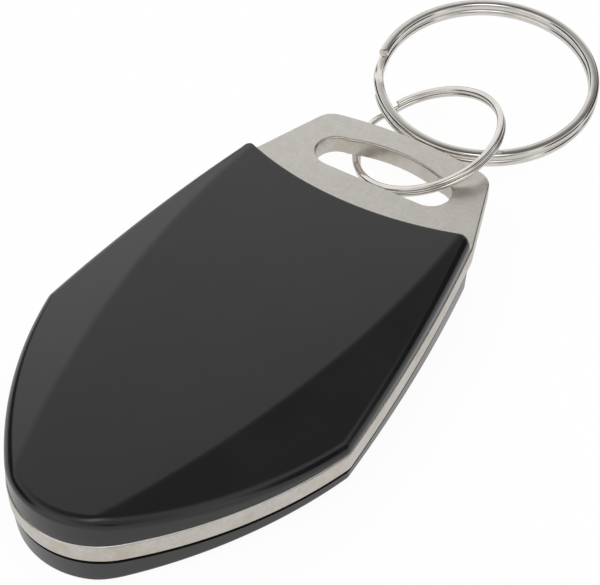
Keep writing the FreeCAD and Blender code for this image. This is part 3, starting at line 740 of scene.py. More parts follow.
@dataclass(frozen=True)
class Top:
    """A cover's broad face: a land between two creases and a falling facet outside each.

    Heights are above the plate and count away from it.

    Attributes:
        nose_height: Height of the land at the nose.
        end_height: Height of the land at the tab end.
        nose_reach: Nose tip to the origin.
        end_reach: Origin to the tab end.
        crease_radius: Radius of the creases.
        crease_half_gap: Half the land's greatest width.
        crease_reach: Origin to the land's widest place.
        facet_angle: Fall of the facets in degrees.
        softness: Distance on either side of a crease over which it turns.
    """

    nose_height: float
    end_height: float
    nose_reach: float = 23.33
    end_reach: float = 23.5
    crease_radius: float = 109.2
    crease_half_gap: float = 11.7
    crease_reach: float = 18.5
    facet_angle: float = 14.0
    softness: float = 0.34

    def circles(self) -> list[tuple[Point, float]]:
        """Finds the circles along the creases.

        Returns:
            Centre and radius of each line in a crease's soft turn, right and then left.
        """
        found = []
        for side in (1.0, -1.0):
            centre = (side * (self.crease_half_gap - self.crease_radius), self.crease_reach)
            found += [(centre, self.crease_radius + self.softness * line) for line in CREASE_LINES]
        return found

    def height(self, points: Array) -> Array:
        """Finds the height of the face above the plate.

        Args:
            points: Points in plan.

        Returns:
            The height at each point.
        """
        slope = (self.end_height - self.nose_height) / (self.nose_reach + self.end_reach)
        land = self.nose_height + slope * (points[:, 1] + self.nose_reach)
        fall = math.tan(math.radians(self.facet_angle))
        for side in (1.0, -1.0):
            centre = side * (self.crease_half_gap - self.crease_radius)
            past = np.hypot(points[:, 0] - centre, points[:, 1] - self.crease_reach) - self.crease_radius
            turning = (np.clip(past, -self.softness, self.softness) + self.softness) ** 2
            land = land - fall * (turning / (4 * self.softness) + np.maximum(past - self.softness, 0.0))
        return land

    def facing(self, points: Array) -> Array:
        """Finds the directions that stand square on the face.

        Args:
            points: Points in plan.

        Returns:
            The direction at each point.
        """
        slopes = []
        for step in ((SLOPE_REACH, 0.0), (0.0, SLOPE_REACH)):
            slopes.append((self.height(points + step) - self.height(points - step)) / (2 * SLOPE_REACH))
        return unit(np.column_stack([-slopes[0], -slopes[1], np.ones(len(points))]))


@dataclass(frozen=True)
class Cover(Model):
    """One moulded half of the fob's body.

    Attributes:
        plan: The fob's plan.
        top: The broad face.
        plate_side: Height of the plate's face that it lies against.
        up: Whether it lies above the plate.
        hollow: Depth of the recess inside.
        rim_radius: Rounding between wall and facets.
        groove: Height of the shadow groove beside the plate.
        groove_depth: Depth of that groove.
        end_rim_radius: Rounding at the tab end.
        inset: How far the wall is set in from the plate's edge.
        draft: Draft of the wall in degrees.
        wall: Thickness of the wall beside the recess.
    """

    name: str
    node: Node
    plan: FobPlan
    top: Top
    plate_side: float
    up: bool
    hollow: float
    rim_radius: float
    groove: float = 0.0
    groove_depth: float = 0.0
    end_rim_radius: float = 0.3
    inset: float = 0.12
    draft: float = 2.0
    wall: float = 1.4
    rider = Rider.FOB
    slot = Slot.PLASTIC

    def _border_inset(self, height: float, radius: float) -> float:
        """How far the broad face's border is set in where the face has a given height."""
        return self.inset + (height - radius - self.groove) * math.tan(math.radians(self.draft)) + radius

    def _outline(self) -> Outline:
        """Draws the outline.

        Returns:
            The outline, with a point wherever a crease's line meets the broad face's border.
        """
        nose = self._border_inset(self.top.nose_height, self.rim_radius)
        end = self._border_inset(self.top.end_height, self.end_rim_radius)
        return self.plan.shell(self.top.circles(), nose, end)

    def _put(self, shaper: Shaper, ring: Ring, points: Array, away: Array | float, facing: Array) -> None:
        """Places a ring at a distance from the plate, on this cover's side of it."""
        sign = 1.0 if self.up else -1.0
        shaper.place(ring, points, self.plate_side + sign * away, facing * np.array([1.0, 1.0, sign]))

    def build(self) -> Piece:
        """Models recess, groove, drafted wall, rounded rim, facets and land.

        Returns:
            The piece.
        """
        shaper = Shaper()
        outline = self._outline()
        inner = outline.loop(self.inset + self.wall)
        foot = outline.loop(self.inset + self.groove_depth)
        lip = outline.loop(self.inset)
        inwards, outwards = leaned(-inner.outward, 0.0), leaned(foot.outward, 0.0)
        sideways = leaned(lip.outward, math.radians(self.draft))
        ring = shaper.start(len(inner.points))
        self._put(shaper, ring, inner.points, self.hollow, inwards)
        shaper.close(ring)
        steps = [(inner.points, 0.0, inwards, True), (foot.points, 0.0, outwards, False)]
        if self.groove > 0:
            steps.append((foot.points, self.groove, outwards, True))
            steps.append((lip.points, self.groove, sideways, False))
        for points, away, facing, curved in (*steps, *self._wall_steps(outline, lip, sideways)):
            ring = shaper.grow(ring, curved)
            self._put(shaper, ring, points, away, facing)
        self._add_face(shaper, ring)
        return shaper.finish(self.name)

    def _wall_steps(self, outline: Outline, lip: Loop, sideways: Array) -> list[Step]:
        """Draws the drafted wall and its rounded rim.

        Args:
            outline: The outline in plan.
            lip: The outline at the wall's foot.
            sideways: Directions that stand square on the wall.

        Returns:
            The steps from the wall's foot to the broad face.
        """
        steps = []
        radius = outline.spread(self.rim_radius, self.end_rim_radius)
        slope = math.tan(math.radians(self.draft))
        rim_foot = self.top.height(lip.points) - radius
        for step in range(1, WALL_STEPS + 1):
            away = self.groove + (rim_foot - self.groove) * step / WALL_STEPS
            points = outline.points_at(self.inset + (away - self.groove) * slope)
            steps.append((points, away, sideways, True))
        wall_top = self.inset + (rim_foot - self.groove) * slope
        for step in range(1, RIM_STEPS + 1):
            turn = step / RIM_STEPS * QUARTER
            points = outline.points_at(wall_top + radius * (1 - math.cos(turn)))
            away = self.top.height(points) - radius * (1 - math.sin(turn))
            facing = unit(sideways * math.cos(turn) + self.top.facing(points) * math.sin(turn))
            steps.append((points, away, facing, True))
        return steps

    def _add_face(self, shaper: Shaper, border: Ring) -> None:
        """Closes the broad face and cuts the creases' lines into it.

        Args:
            shaper: The mesh.
            border: The ring round the broad face.
        """
        for face in shaper.close(border):
            face.smooth = True
        for centre, radius in self.top.circles():
            side = math.copysign(1.0, -centre[0])
            line = self._crease(border, centre, radius, side)
            made = shaper.cut(border, line)
            plan = np.array([(vert.co.x / MM, vert.co.y / MM) for vert in made])
            self._put(shaper, made, plan, self.top.height(plan), self.top.facing(plan))

    def _crease(self, border: Ring, centre: Point, radius: float, side: float) -> list[Vector]:
        """Draws a crease's line across the broad face, from border to border.

        Args:
            border: The ring round the broad face.
            centre: Centre of the line's circle.
            radius: Radius of that circle.
            side: 1 on the right, -1 on the left.

        Returns:
            The line's points in metres.
        """
        ends = []
        for low in (True, False):
            part = [vert.co for vert in border if vert.co.x * side > 0 and (vert.co.y < 0) == low]
            near = min(part, key=lambda co: abs(math.dist((co.x / MM, co.y / MM), centre) - radius))
            ends.append((near.x / MM, near.y / MM))
        first, last = (bearing(centre, end) for end in ends)
        turn = (last - first + math.pi) % WHOLE - math.pi
        angles = [first + turn * step / CREASE_STEPS for step in range(CREASE_STEPS + 1)]
        rays = [(math.cos(angle), math.sin(angle)) for angle in angles]
        return [Vector((centre[0] + radius * x, centre[1] + radius * y, 0.0)) * MM for x, y in rays]


PIN_STEPS = 40
PIN_BEVEL_STEPS = 3
PLATE_HOLES: tuple[Point, ...] = ((7.0, 17.0), (-7.0, 17.0))


@dataclass(frozen=True)
class JoiningPins(Model):
    """The pins of the lower cover, which the upper one is pressed on. Two go through the plate."""

    name: str = "joining_pins"
    free: tuple[Point, ...] = ((0.0, -18.83), (11.5, -3.46), (-11.5, -3.46))
    through: tuple[Point, ...] = PLATE_HOLES
    floor: float = 1.2
    plate_low: float = 3.0
    boss_air: float = 0.02
    tip: float = 5.74
    radius: float = 1.2
    boss_radius: float = 2.1
    tip_bevel: float = 0.2
    node = Node.LOWER
    rider = Rider.FOB
    slot = Slot.PLASTIC

    def build(self) -> Piece:
        """Models the pins and the bosses under the plate.

        Returns:
            The piece.
        """
        mesh = bmesh.new()
        for place in (*self.free, *self.through):
            self._add_pin(mesh, place, self.radius, self.tip)
        for place in self.through:
            self._add_pin(mesh, place, self.boss_radius, self.plate_low - self.boss_air)
        bmesh.ops.scale(mesh, vec=(MM, MM, MM), verts=mesh.verts)
        bmesh.ops.recalc_face_normals(mesh, faces=mesh.faces)
        return finished(self.name, mesh)

    def _add_pin(self, mesh: Mesh, place: Point, radius: float, top: float) -> None:
        """Adds a round pin with a bevelled tip.

        Args:
            mesh: The mesh.
            place: Its middle in plan.
            radius: Its radius.
            top: Height of its tip.
        """
        height = top - self.floor
        seat = Matrix.Translation((*place, self.floor + height / 2))
        made = bmesh.ops.create_cone(
            mesh, cap_ends=True, cap_tris=False, segments=PIN_STEPS, radius1=radius, radius2=radius,
            depth=height, matrix=seat,
        )
        tips = {vert for vert in made["verts"] if vert.co.z > seat.translation.z}
        rim = [edge for edge in mesh.edges if set(edge.verts) <= tips]
        bevel(mesh, rim, self.tip_bevel, PIN_BEVEL_STEPS)


# The metal plate

BEVEL_STEPS = 4


@dataclass(frozen=True)
class LoopPlate(Model):
    """The plate between the covers, with its tab, ring slot, window and pin holes."""

    plan: FobPlan
    low: float
    high: float
    name: str = "loop_plate"
    edge_break: float = 0.22
    inset: float = 0.012
    hole_radius: float = 1.3
    hole_steps: int = 32
    holes: tuple[Point, ...] = PLATE_HOLES
    node = Node.PLATE
    rider = Rider.FOB
    slot = Slot.PLATE

    def build(self) -> Piece:
        """Models the plate with its long edges broken.

        Returns:
            The piece.
        """
        shaper = Shaper()
        sides = [self._wall(shaper, self.plan.plate(), self.inset, False)]
        sides.append(self._wall(shaper, self.plan.slot(), 0.0, True))
        sides.append(self._wall(shaper, self.plan.window(), self.plan.plate_band, True))
        sides += [self._bore(shaper, place) for place in self.holes]
        for rings in zip(*sides, strict=True):
            shaper.close(*rings)
        return shaper.finish(self.name)

    def _wall(self, shaper: Shaper, outline: Outline, inset: float, hole: bool) -> tuple[Ring, Ring]:
        """Grows a wall with broken edges from the underside to the top.

        Args:
            shaper: The mesh.
            outline: The wall's outline.
            inset: How far the wall is set in from that outline.
            hole: Whether the metal lies outside the outline.

        Returns:
            The rings at the underside and at the top.
        """
        sign = -1.0 if hole else 1.0
        count = len(outline.loop(inset).points)
        first = ring = shaper.start(count)
        for index in range(2 * BEVEL_STEPS + 2):
            upper = index > BEVEL_STEPS
            step = index - BEVEL_STEPS - 1 if upper else BEVEL_STEPS - index
            turn = step / BEVEL_STEPS * QUARTER
            loop = outline.loop(inset + sign * self.edge_break * (1 - math.cos(turn)))
            edge = self.edge_break * (1 - math.sin(turn))
            if index > 0:
                ring = shaper.grow(ring)
            facing = leaned(sign * loop.outward, turn if upper else -turn)
            shaper.place(ring, loop.points, self.high - edge if upper else self.low + edge, facing)
        return first, ring

    def _bore(self, shaper: Shaper, place: Point) -> tuple[Ring, Ring]:
        """Adds the wall of a round hole.

        Args:
            shaper: The mesh.
            place: The hole's middle in plan.

        Returns:
            The rings at the underside and at the top.
        """
        turns = np.arange(self.hole_steps) / self.hole_steps * WHOLE
        rays = np.column_stack([np.cos(turns), np.sin(turns)])
        points = np.array(place) + rays * self.hole_radius
        low = shaper.start(self.hole_steps)
        shaper.place(low, points, self.low, leaned(-rays, 0.0))
        high = shaper.grow(low)
        shaper.place(high, points, self.high, leaned(-rays, 0.0))
        return low, high


# Split rings

TURN_STEPS = 180
STEP_STEPS = 30
SECTION_STEPS = 5
END_BEVEL_STEPS = 2
ORIGIN = (0.0, 0.0, 0.0)


@dataclass(frozen=True)
class SplitRing(Model):
    """A split ring: one wire in two turns, with a step between them.

    Attributes:
        outside: Outside diameter.
        width: Wire width across the ring.
        height: Wire height along the ring's axis.
        rounding: Rounding of the wire's edges.
        split: Angle of the free upper end in degrees.
        step: Sweep of the step between the turns in degrees.
        centre: The ring's centre.
        lean_side: Fall to the left in degrees.
        lean_back: Fall to the front in degrees.
        gap: Air between the two turns.
        air: Sweep of the air beside each free end in degrees.
        end_bevel: Broken edges of the free ends.
    """

    name: str
    node: Node
    rider: Rider
    outside: float
    width: float
    height: float
    rounding: float
    split: float
    step: float
    centre: tuple[float, float, float]
    lean_side: float
    lean_back: float
    gap: float = 0.04
    air: float = 1.5
    end_bevel: float = 0.06
    slot = Slot.RING

    def _seat(self) -> Matrix:
        """Finds the turn and shift from the ring's own frame to the fob's.

        Returns:
            The matrix.
        """
        slopes = [math.tan(math.radians(angle)) for angle in (self.lean_side, self.lean_back)]
        normal = Vector((-slopes[0], -slopes[1], 1.0)).normalized()
        turn = Vector((0.0, 0.0, 1.0)).rotation_difference(normal).to_matrix().to_4x4()
        return Matrix.Translation(Vector(self.centre)) @ turn

    def _run(self) -> float:
        """Sweep of the wire in each of its turns, in degrees."""
        return 360.0 - self.step - self.air

    def _section(self, mesh: Mesh) -> None:
        """Adds the wire's section at the lower free end.

        Args:
            mesh: The mesh.
        """
        bmesh.ops.create_grid(mesh, x_segments=1, y_segments=1, size=0.5)
        bmesh.ops.scale(mesh, vec=(self.width, self.height, 1.0), verts=mesh.verts)
        bevel(mesh, mesh.verts[:], self.rounding, SECTION_STEPS, "VERTICES")
        upright = Matrix.Rotation(QUARTER, 3, "X")
        bmesh.ops.rotate(mesh, cent=ORIGIN, matrix=upright, verts=mesh.verts)
        radius = (self.outside - self.width) / 2
        bmesh.ops.translate(mesh, vec=(radius, 0.0, -(self.height + self.gap) / 2), verts=mesh.verts)
        start = Matrix.Rotation(math.radians(self.split + self.air - self._run()), 3, "Z")
        bmesh.ops.rotate(mesh, cent=ORIGIN, matrix=start, verts=mesh.verts)

    def _legs(self) -> list[tuple[float, float, int]]:
        """Finds the wire's course.

        Returns:
            Sweep in degrees, rise and steps of each leg.
        """
        lift = self.height + self.gap
        turn = (self._run(), 0.0, TURN_STEPS)
        legs = [turn]
        for index in range(STEP_STEPS):
            shares = (index / STEP_STEPS, (index + 1) / STEP_STEPS)
            before, after = (share**2 * (3 - 2 * share) * lift for share in shares)
            legs.append((self.step / STEP_STEPS, after - before, 1))
        return [*legs, turn]

    def build(self) -> Piece:
        """Sweeps the wire's section through both turns and breaks the edges of its ends.

        Returns:
            The piece, at its seat.
        """
        mesh = bmesh.new()
        self._section(mesh)
        section = [*mesh.verts, *mesh.edges, *mesh.faces]
        for sweep, rise, steps in self._legs():
            section = bmesh.ops.spin(
                mesh, geom=section, cent=ORIGIN, axis=(0.0, 0.0, 1.0),
                dvec=(0.0, 0.0, rise / steps), angle=math.radians(sweep), steps=steps,
                use_merge=False, use_normal_flip=False, use_duplicate=False,
            )["geom_last"]
        ends = [face for face in mesh.faces if len(face.verts) > QUAD]
        rims = list({edge for face in ends for edge in face.edges})
        bevel(mesh, rims, self.end_bevel, END_BEVEL_STEPS)
        bmesh.ops.recalc_face_normals(mesh, faces=mesh.faces)
        for face in mesh.faces:
            face.smooth = len(face.verts) <= QUAD
        bmesh.ops.transform(mesh, matrix=self._seat(), verts=mesh.verts)
        bmesh.ops.scale(mesh, vec=(MM, MM, MM), verts=mesh.verts)
        return finished(self.name, mesh)


# Shader groups and materials

VECTOR_SOCKETS = ("Normal", "Stretch")


class Graph:
    """A shader's node tree, filled node by node."""

    def __init__(self, tree: Tree) -> None:
        """Takes the tree that is filled."""
        self.tree = tree

    def feed(self, socket: Socket, source: object) -> None:
        """Links an output to an input, or sets the input.

        Args:
            socket: The input.
            source: The output, or the input's value. A colour comes without its alpha.
        """
        if isinstance(source, Socket):
            self.tree.links.new(source, socket)
        elif socket.type == "RGBA":
            socket.default_value = (*source, 1.0)
        else:
            socket.default_value = source

    def add(self, kind: str, *sources: object, **values: object) -> bpy.types.bpy_prop_collection:
        """Adds a node.

        Args:
            kind: The node's class name.
            *sources: What its first inputs get, in their order.
            **values: Its properties, and what its inputs get under their names with underscores.

        Returns:
            The node's outputs.
        """
        node = self.tree.nodes.new(kind)
        for name, value in values.items():
            if hasattr(node, name):
                setattr(node, name, value)
            else:
                self.feed(node.inputs[name.replace("_", " ")], value)
        for socket, source in zip(node.inputs, sources):
            self.feed(socket, source)
        return node.outputs

    def reckon(self, operation: str, *sources: object) -> Socket:
        """Adds a calculation with values, and returns its result."""
        return self.add("ShaderNodeMath", *sources, operation=operation)["Value"]

    def soft_step(self, value: Socket, edges: tuple[float, float]) -> Socket:
        """Adds a soft step from 0 to 1.

        Args:
            value: The value that is judged.
            edges: Where the step is 0 and where it is 1.

        Returns:
            The step's result.
        """
        step = self.add("ShaderNodeMapRange", value, *edges, interpolation_type="SMOOTHSTEP")
        return step["Result"]

    def tint(self, share: Socket, under: Socket, over: Colour) -> Socket:
        """Lays one colour over another.

        Args:
            share: Share of the upper colour.
            under: The lower colour.
            over: The upper colour.

        Returns:
            The mixed colour.
        """
        return self.add("ShaderNodeMix", data_type="RGBA", Factor=share, A=under, B=over)["Result"]

    def ramp(self, value: Socket, stops: Sequence[tuple[float, Colour]]) -> Socket:
        """Adds a colour ramp.

        Args:
            value: The place on the ramp.
            stops: Places and colours, from low to high.

        Returns:
            The colour.
        """
        colour = self.add("ShaderNodeValToRGB", value)["Color"]
        elements = colour.node.color_ramp.elements
        while len(elements) < len(stops):
            elements.new(0.5)
        for element, (position, level) in zip(elements, stops, strict=True):
            element.position = position
            element.color = (*level, 1.0)
        return colour


class Group(Graph):
    """A shader group that finishes share."""

    def __init__(self, name: str, inputs: Sequence[str], outputs: Sequence[str]) -> None:
        """Starts the group.

        Args:
            name: The group's name.
            inputs: Names of its inputs.
            outputs: Names of its outputs.
        """
        super().__init__(bpy.data.node_groups.new(name, "ShaderNodeTree"))
        for side, labels in (("INPUT", inputs), ("OUTPUT", outputs)):
            for label in labels:
                kind = "NodeSocketVector" if label in VECTOR_SOCKETS else "NodeSocketFloat"
                self.tree.interface.new_socket(label, in_out=side, socket_type=kind)
        self.given = self.add("NodeGroupInput")
        self.place = self.add("ShaderNodeTexCoord")

    def noise(self, **values: object) -> Socket:
        """Adds noise, on Object coordinates unless a Vector is given, and returns its value."""
        return self.add("ShaderNodeTexNoise", **{"Vector": self.place["Object"], **values})["Fac"]

    def leave(self, **results: Socket) -> Tree:
        """Adds the group's outputs and returns its tree."""
        self.add("NodeGroupOutput", **results)
        return self.tree


class Effects:
    """Shader groups that every finish shares.

    Attributes:
        grain_height: Height of the grain in metres.
        patch_edges: Noise at which a handling patch starts and is full.
        scratch_edges: Noise at which a scratch starts and is full.
        upright_edges: Upward share of a surface's direction at which the painted shade on walls starts and
            is full.
        wall_shade_edges: Noise at which a blotch of that painted shade starts and is full.
    """

    grain_height = 0.00002
    patch_edges = (0.36, 0.64)
    scratch_edges = (0.60, 0.72)
    # Painted shade: upright walls get a darker, warmer colour, stronger in uneven blotches.
    upright_edges = (0.9, 0.3)
    wall_shade_edges = (0.42, 0.66)

    def __init__(self) -> None:
        """Builds the groups once."""
        self.grain = self._make_grain()
        self.patches = self._make_patches()
        self.hairlines = self._make_hairlines()
        self.walls = self._make_walls()

    def _make_grain(self) -> Tree:
        """Makes a fine grain: Scale and Depth give a Mask and a Normal.

        Returns:
            The group.
        """
        group = Group("fine_grain", ("Scale", "Depth"), ("Mask", "Normal"))
        noise = group.noise(Scale=group.given["Scale"], Detail=3.0, Roughness=0.6)
        bump = group.add(
            "ShaderNodeBump", Height=noise, Strength=group.given["Depth"], Distance=self.grain_height
        )
        return group.leave(Mask=noise, Normal=bump["Normal"])

    def _make_patches(self) -> Tree:
        """Makes broad uneven patches, as handling leaves them: Scale gives a Mask.

        Returns:
            The group.
        """
        group = Group("handling_patches", ("Scale",), ("Mask",))
        noise = group.noise(Scale=group.given["Scale"], Detail=4.0, Roughness=0.5, Distortion=0.6)
        return group.leave(Mask=group.soft_step(noise, self.patch_edges))

    def _make_hairlines(self) -> Tree:
        """Makes fine scratches: Stretch, the cells per metre along each axis, gives a Mask.

        Returns:
            The group.
        """
        group = Group("hairlines", ("Stretch",), ("Mask",))
        cells = group.add(
            "ShaderNodeVectorMath", group.place["Object"], group.given["Stretch"], operation="MULTIPLY"
        )
        noise = group.noise(Vector=cells["Vector"], Scale=1.0, Detail=2.0, Roughness=0.7)
        return group.leave(Mask=group.soft_step(noise, self.scratch_edges))

    def _make_walls(self) -> Tree:
        """Makes painted shade on upright walls, in uneven blotches: Scale, Least and Reach give a Mask of
        its strength.

        Returns:
            The group.
        """
        # Painted shade: a darker, warmer colour on upright walls, stronger where the noise makes blotches.
        group = Group("painted_wall_shade", ("Scale", "Least", "Reach"), ("Mask",))
        facing = group.add("ShaderNodeSeparateXYZ", group.place["Normal"])
        upright = group.soft_step(group.reckon("ABSOLUTE", facing["Z"]), self.upright_edges)
        noise = group.noise(Scale=group.given["Scale"], Detail=5.0, Roughness=0.6)
        marks = group.soft_step(noise, self.wall_shade_edges)
        amount = group.reckon("MULTIPLY_ADD", marks, group.given["Reach"], group.given["Least"])
        return group.leave(Mask=group.reckon("MULTIPLY", upright, amount))


@dataclass(frozen=True)
class Finish:
    """A surface finish.

    Attributes:
        name: Material name.
        low: Colour in the grain's hollows.
        high: Colour on the grain's tops.
        rough: Least and greatest roughness.
        grain: Grain cells per metre, and strength of their bump.
        patches: Patches per metre, and their share in colour and roughness beside the grain's.
        metallic: Metallic share.
        hairlines: Scratch cells per metre along each axis.
        hairline_rough: Roughness that a scratch adds.
        coat: Clear coat weight.
        specular: Specular level.
        wall_shade: Colour of the painted shade on upright walls, if any.
        wall_shade_scale: Blotches of that painted shade per metre.
        wall_shade_least: Strength of the painted shade everywhere on the walls.
        wall_shade_reach: Strength that the darkest blotches add.
        tone_ends: Mask values that give the low and the high colour.
    """

    name: str
    low: Colour
    high: Colour
    rough: tuple[float, float]
    grain: tuple[float, float]
    patches: tuple[float, float]
    metallic: float = 0.0
    hairlines: tuple[float, float, float] = (900.0, 90.0, 900.0)
    hairline_rough: float = 0.0
    coat: float = 0.0
    specular: float = 0.5
    # Painted shade: a darker, warmer colour laid on upright walls.
    wall_shade: Colour | None = None
    wall_shade_scale: float = 260.0
    wall_shade_least: float = 0.12
    wall_shade_reach: float = 0.30
    tone_ends: tuple[float, float] = (0.30, 0.70)

    def material(self, effects: Effects) -> bpy.types.Material:
        """Makes the material.

        Args:
            effects: The shared shader groups.

        Returns:
            The material.
        """
        made = bpy.data.materials.new(self.name)
        made.use_nodes = True
        graph = Graph(made.node_tree)
        kind = "ShaderNodeGroup"
        grain = graph.add(kind, node_tree=effects.grain, Scale=self.grain[0], Depth=self.grain[1])
        patches = graph.add(kind, node_tree=effects.patches, Scale=self.patches[0])
        lines = graph.add(kind, node_tree=effects.hairlines, Stretch=self.hairlines)
        both = graph.add("ShaderNodeMix", Factor=self.patches[1], A=grain["Mask"], B=patches["Mask"])
        colour = graph.ramp(both["Result"], list(zip(self.tone_ends, (self.low, self.high))))
        rough = graph.add("ShaderNodeMapRange", both["Result"], To_Min=self.rough[0], To_Max=self.rough[1])
        sources = {
            "Metallic": self.metallic,
            "Coat Weight": self.coat,
            "Specular IOR Level": self.specular,
            "Base Color": self._wall_shaded(graph, effects, colour),
            "Roughness": graph.reckon("MULTIPLY_ADD", lines["Mask"], self.hairline_rough, rough["Result"]),
            "Normal": grain["Normal"],
        }
        shader = graph.tree.nodes["Principled BSDF"]
        for label, source in sources.items():
            graph.feed(shader.inputs[label], source)
        return made

    def _wall_shaded(self, graph: Graph, effects: Effects, colour: Socket) -> Socket:
        """Lays the painted wall shade, if any, over a colour where the surface is an upright wall.

        Args:
            graph: The material's nodes.
            effects: The shared shader groups.
            colour: The colour.

        Returns:
            The colour with the painted shade.
        """
        if self.wall_shade is None:
            return colour
        marks = graph.add(
            "ShaderNodeGroup", node_tree=effects.walls, Scale=self.wall_shade_scale,
            Least=self.wall_shade_least, Reach=self.wall_shade_reach,
        )
        return graph.tint(marks["Mask"], colour, self.wall_shade)


PLASTIC = Finish(
    "moulded_plastic", low=(0.0105, 0.0105, 0.011), high=(0.0145, 0.0145, 0.015), rough=(0.17, 0.24),
    grain=(5200.0, 0.10), patches=(140.0, 0.35), hairlines=(2600.0, 150.0, 900.0), hairline_rough=0.05,
    specular=0.55,
)
# The plate's upright walls get a painted shade: a darker, warmer colour in uneven blotches.
PLATE = Finish(
    "satin_plate", low=(0.62, 0.60, 0.555), high=(0.73, 0.705, 0.66), rough=(0.26, 0.38),
    grain=(2600.0, 0.40), patches=(800.0, 0.18), metallic=1.0, hairlines=(1800.0, 260.0, 900.0),
    hairline_rough=0.06, wall_shade=(0.48, 0.385, 0.27),
)
RING = Finish(
    "bright_nickel", low=(0.70, 0.675, 0.635), high=(0.77, 0.745, 0.705), rough=(0.06, 0.11),
    grain=(2400.0, 0.06), patches=(500.0, 0.4), metallic=1.0, hairlines=(600.0, 600.0, 3500.0),
    hairline_rough=0.08,
)
TAPE = Finish(
    "adhesive_tape", low=(0.70, 0.66, 0.52), high=(0.80, 0.76, 0.64), rough=(0.45, 0.60),
    grain=(2500.0, 0.2), patches=(300.0, 0.5),
)
COPPER = Finish(
    "lacquered_copper", low=(0.42, 0.16, 0.07), high=(0.62, 0.27, 0.13), rough=(0.22, 0.32),
    grain=(4000.0, 0.4), patches=(700.0, 0.3), metallic=1.0,
)
BOARD = Finish(
    "solder_mask", low=(0.02, 0.13, 0.05), high=(0.03, 0.18, 0.07), rough=(0.25, 0.35),
    grain=(3000.0, 0.15), patches=(500.0, 0.3), coat=0.3,
)
RESIN = Finish(
    "cast_resin", low=(0.010, 0.010, 0.010), high=(0.016, 0.016, 0.016), rough=(0.12, 0.22),
    grain=(900.0, 0.1), patches=(400.0, 0.3), coat=0.2,
)
SOLDER = Finish(
    "bright_solder", low=(0.55, 0.55, 0.56), high=(0.70, 0.70, 0.71), rough=(0.15, 0.30),
    grain=(2200.0, 0.2), patches=(600.0, 0.4), metallic=1.0,
)


@dataclass(frozen=True)
class InnerParts:
    """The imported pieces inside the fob, which keep their shapes and get their materials."""

    nodes: dict[str, Piece]
    finishes: dict[Node, Finish] = field(default_factory=lambda: {
        Node.PAD: TAPE,
        Node.COIL: COPPER,
        Node.LEADS: COPPER,
        Node.BOARD: BOARD,
        Node.RESIN: RESIN,
        Node.SOLDER: SOLDER,
    })

    def dress(self, effects: Effects) -> None:
        """Gives each piece its material.

        Args:
            effects: The shared shader groups.
        """
        made: dict[str, bpy.types.Material] = {}
        for node, finish in self.finishes.items():
            if finish.name not in made:
                made[finish.name] = finish.material(effects)
            data = self.nodes[node.value].data
            data.materials.clear()
            data.materials.append(made[finish.name])
            LOG.info("dressed %s in %s", node.value, finish.name)


# Camera, light and floor

WHITE: Colour = (1.0, 1.0, 1.0)
SHADE: Colour = (0.04, 0.04, 0.035)


@dataclass(frozen=True)
class Patch:
    """A soft round part of the studio, as the fob sees it.

    Attributes:
        azimuth: Degrees from +X towards +Y.
        elevation: Degrees above the floor.
        inner: Degrees from its middle at which it starts to fade.
        outer: Degrees from its middle at which it ends.
        level: Its colour.
    """

    azimuth: float
    elevation: float
    inner: float
    outer: float
    level: Colour

    def ray(self) -> Vector:
        """Direction of its middle."""
        turn, rise = math.radians(self.azimuth), math.radians(self.elevation)
        return Vector((math.cos(rise) * math.cos(turn), math.cos(rise) * math.sin(turn), math.sin(rise)))


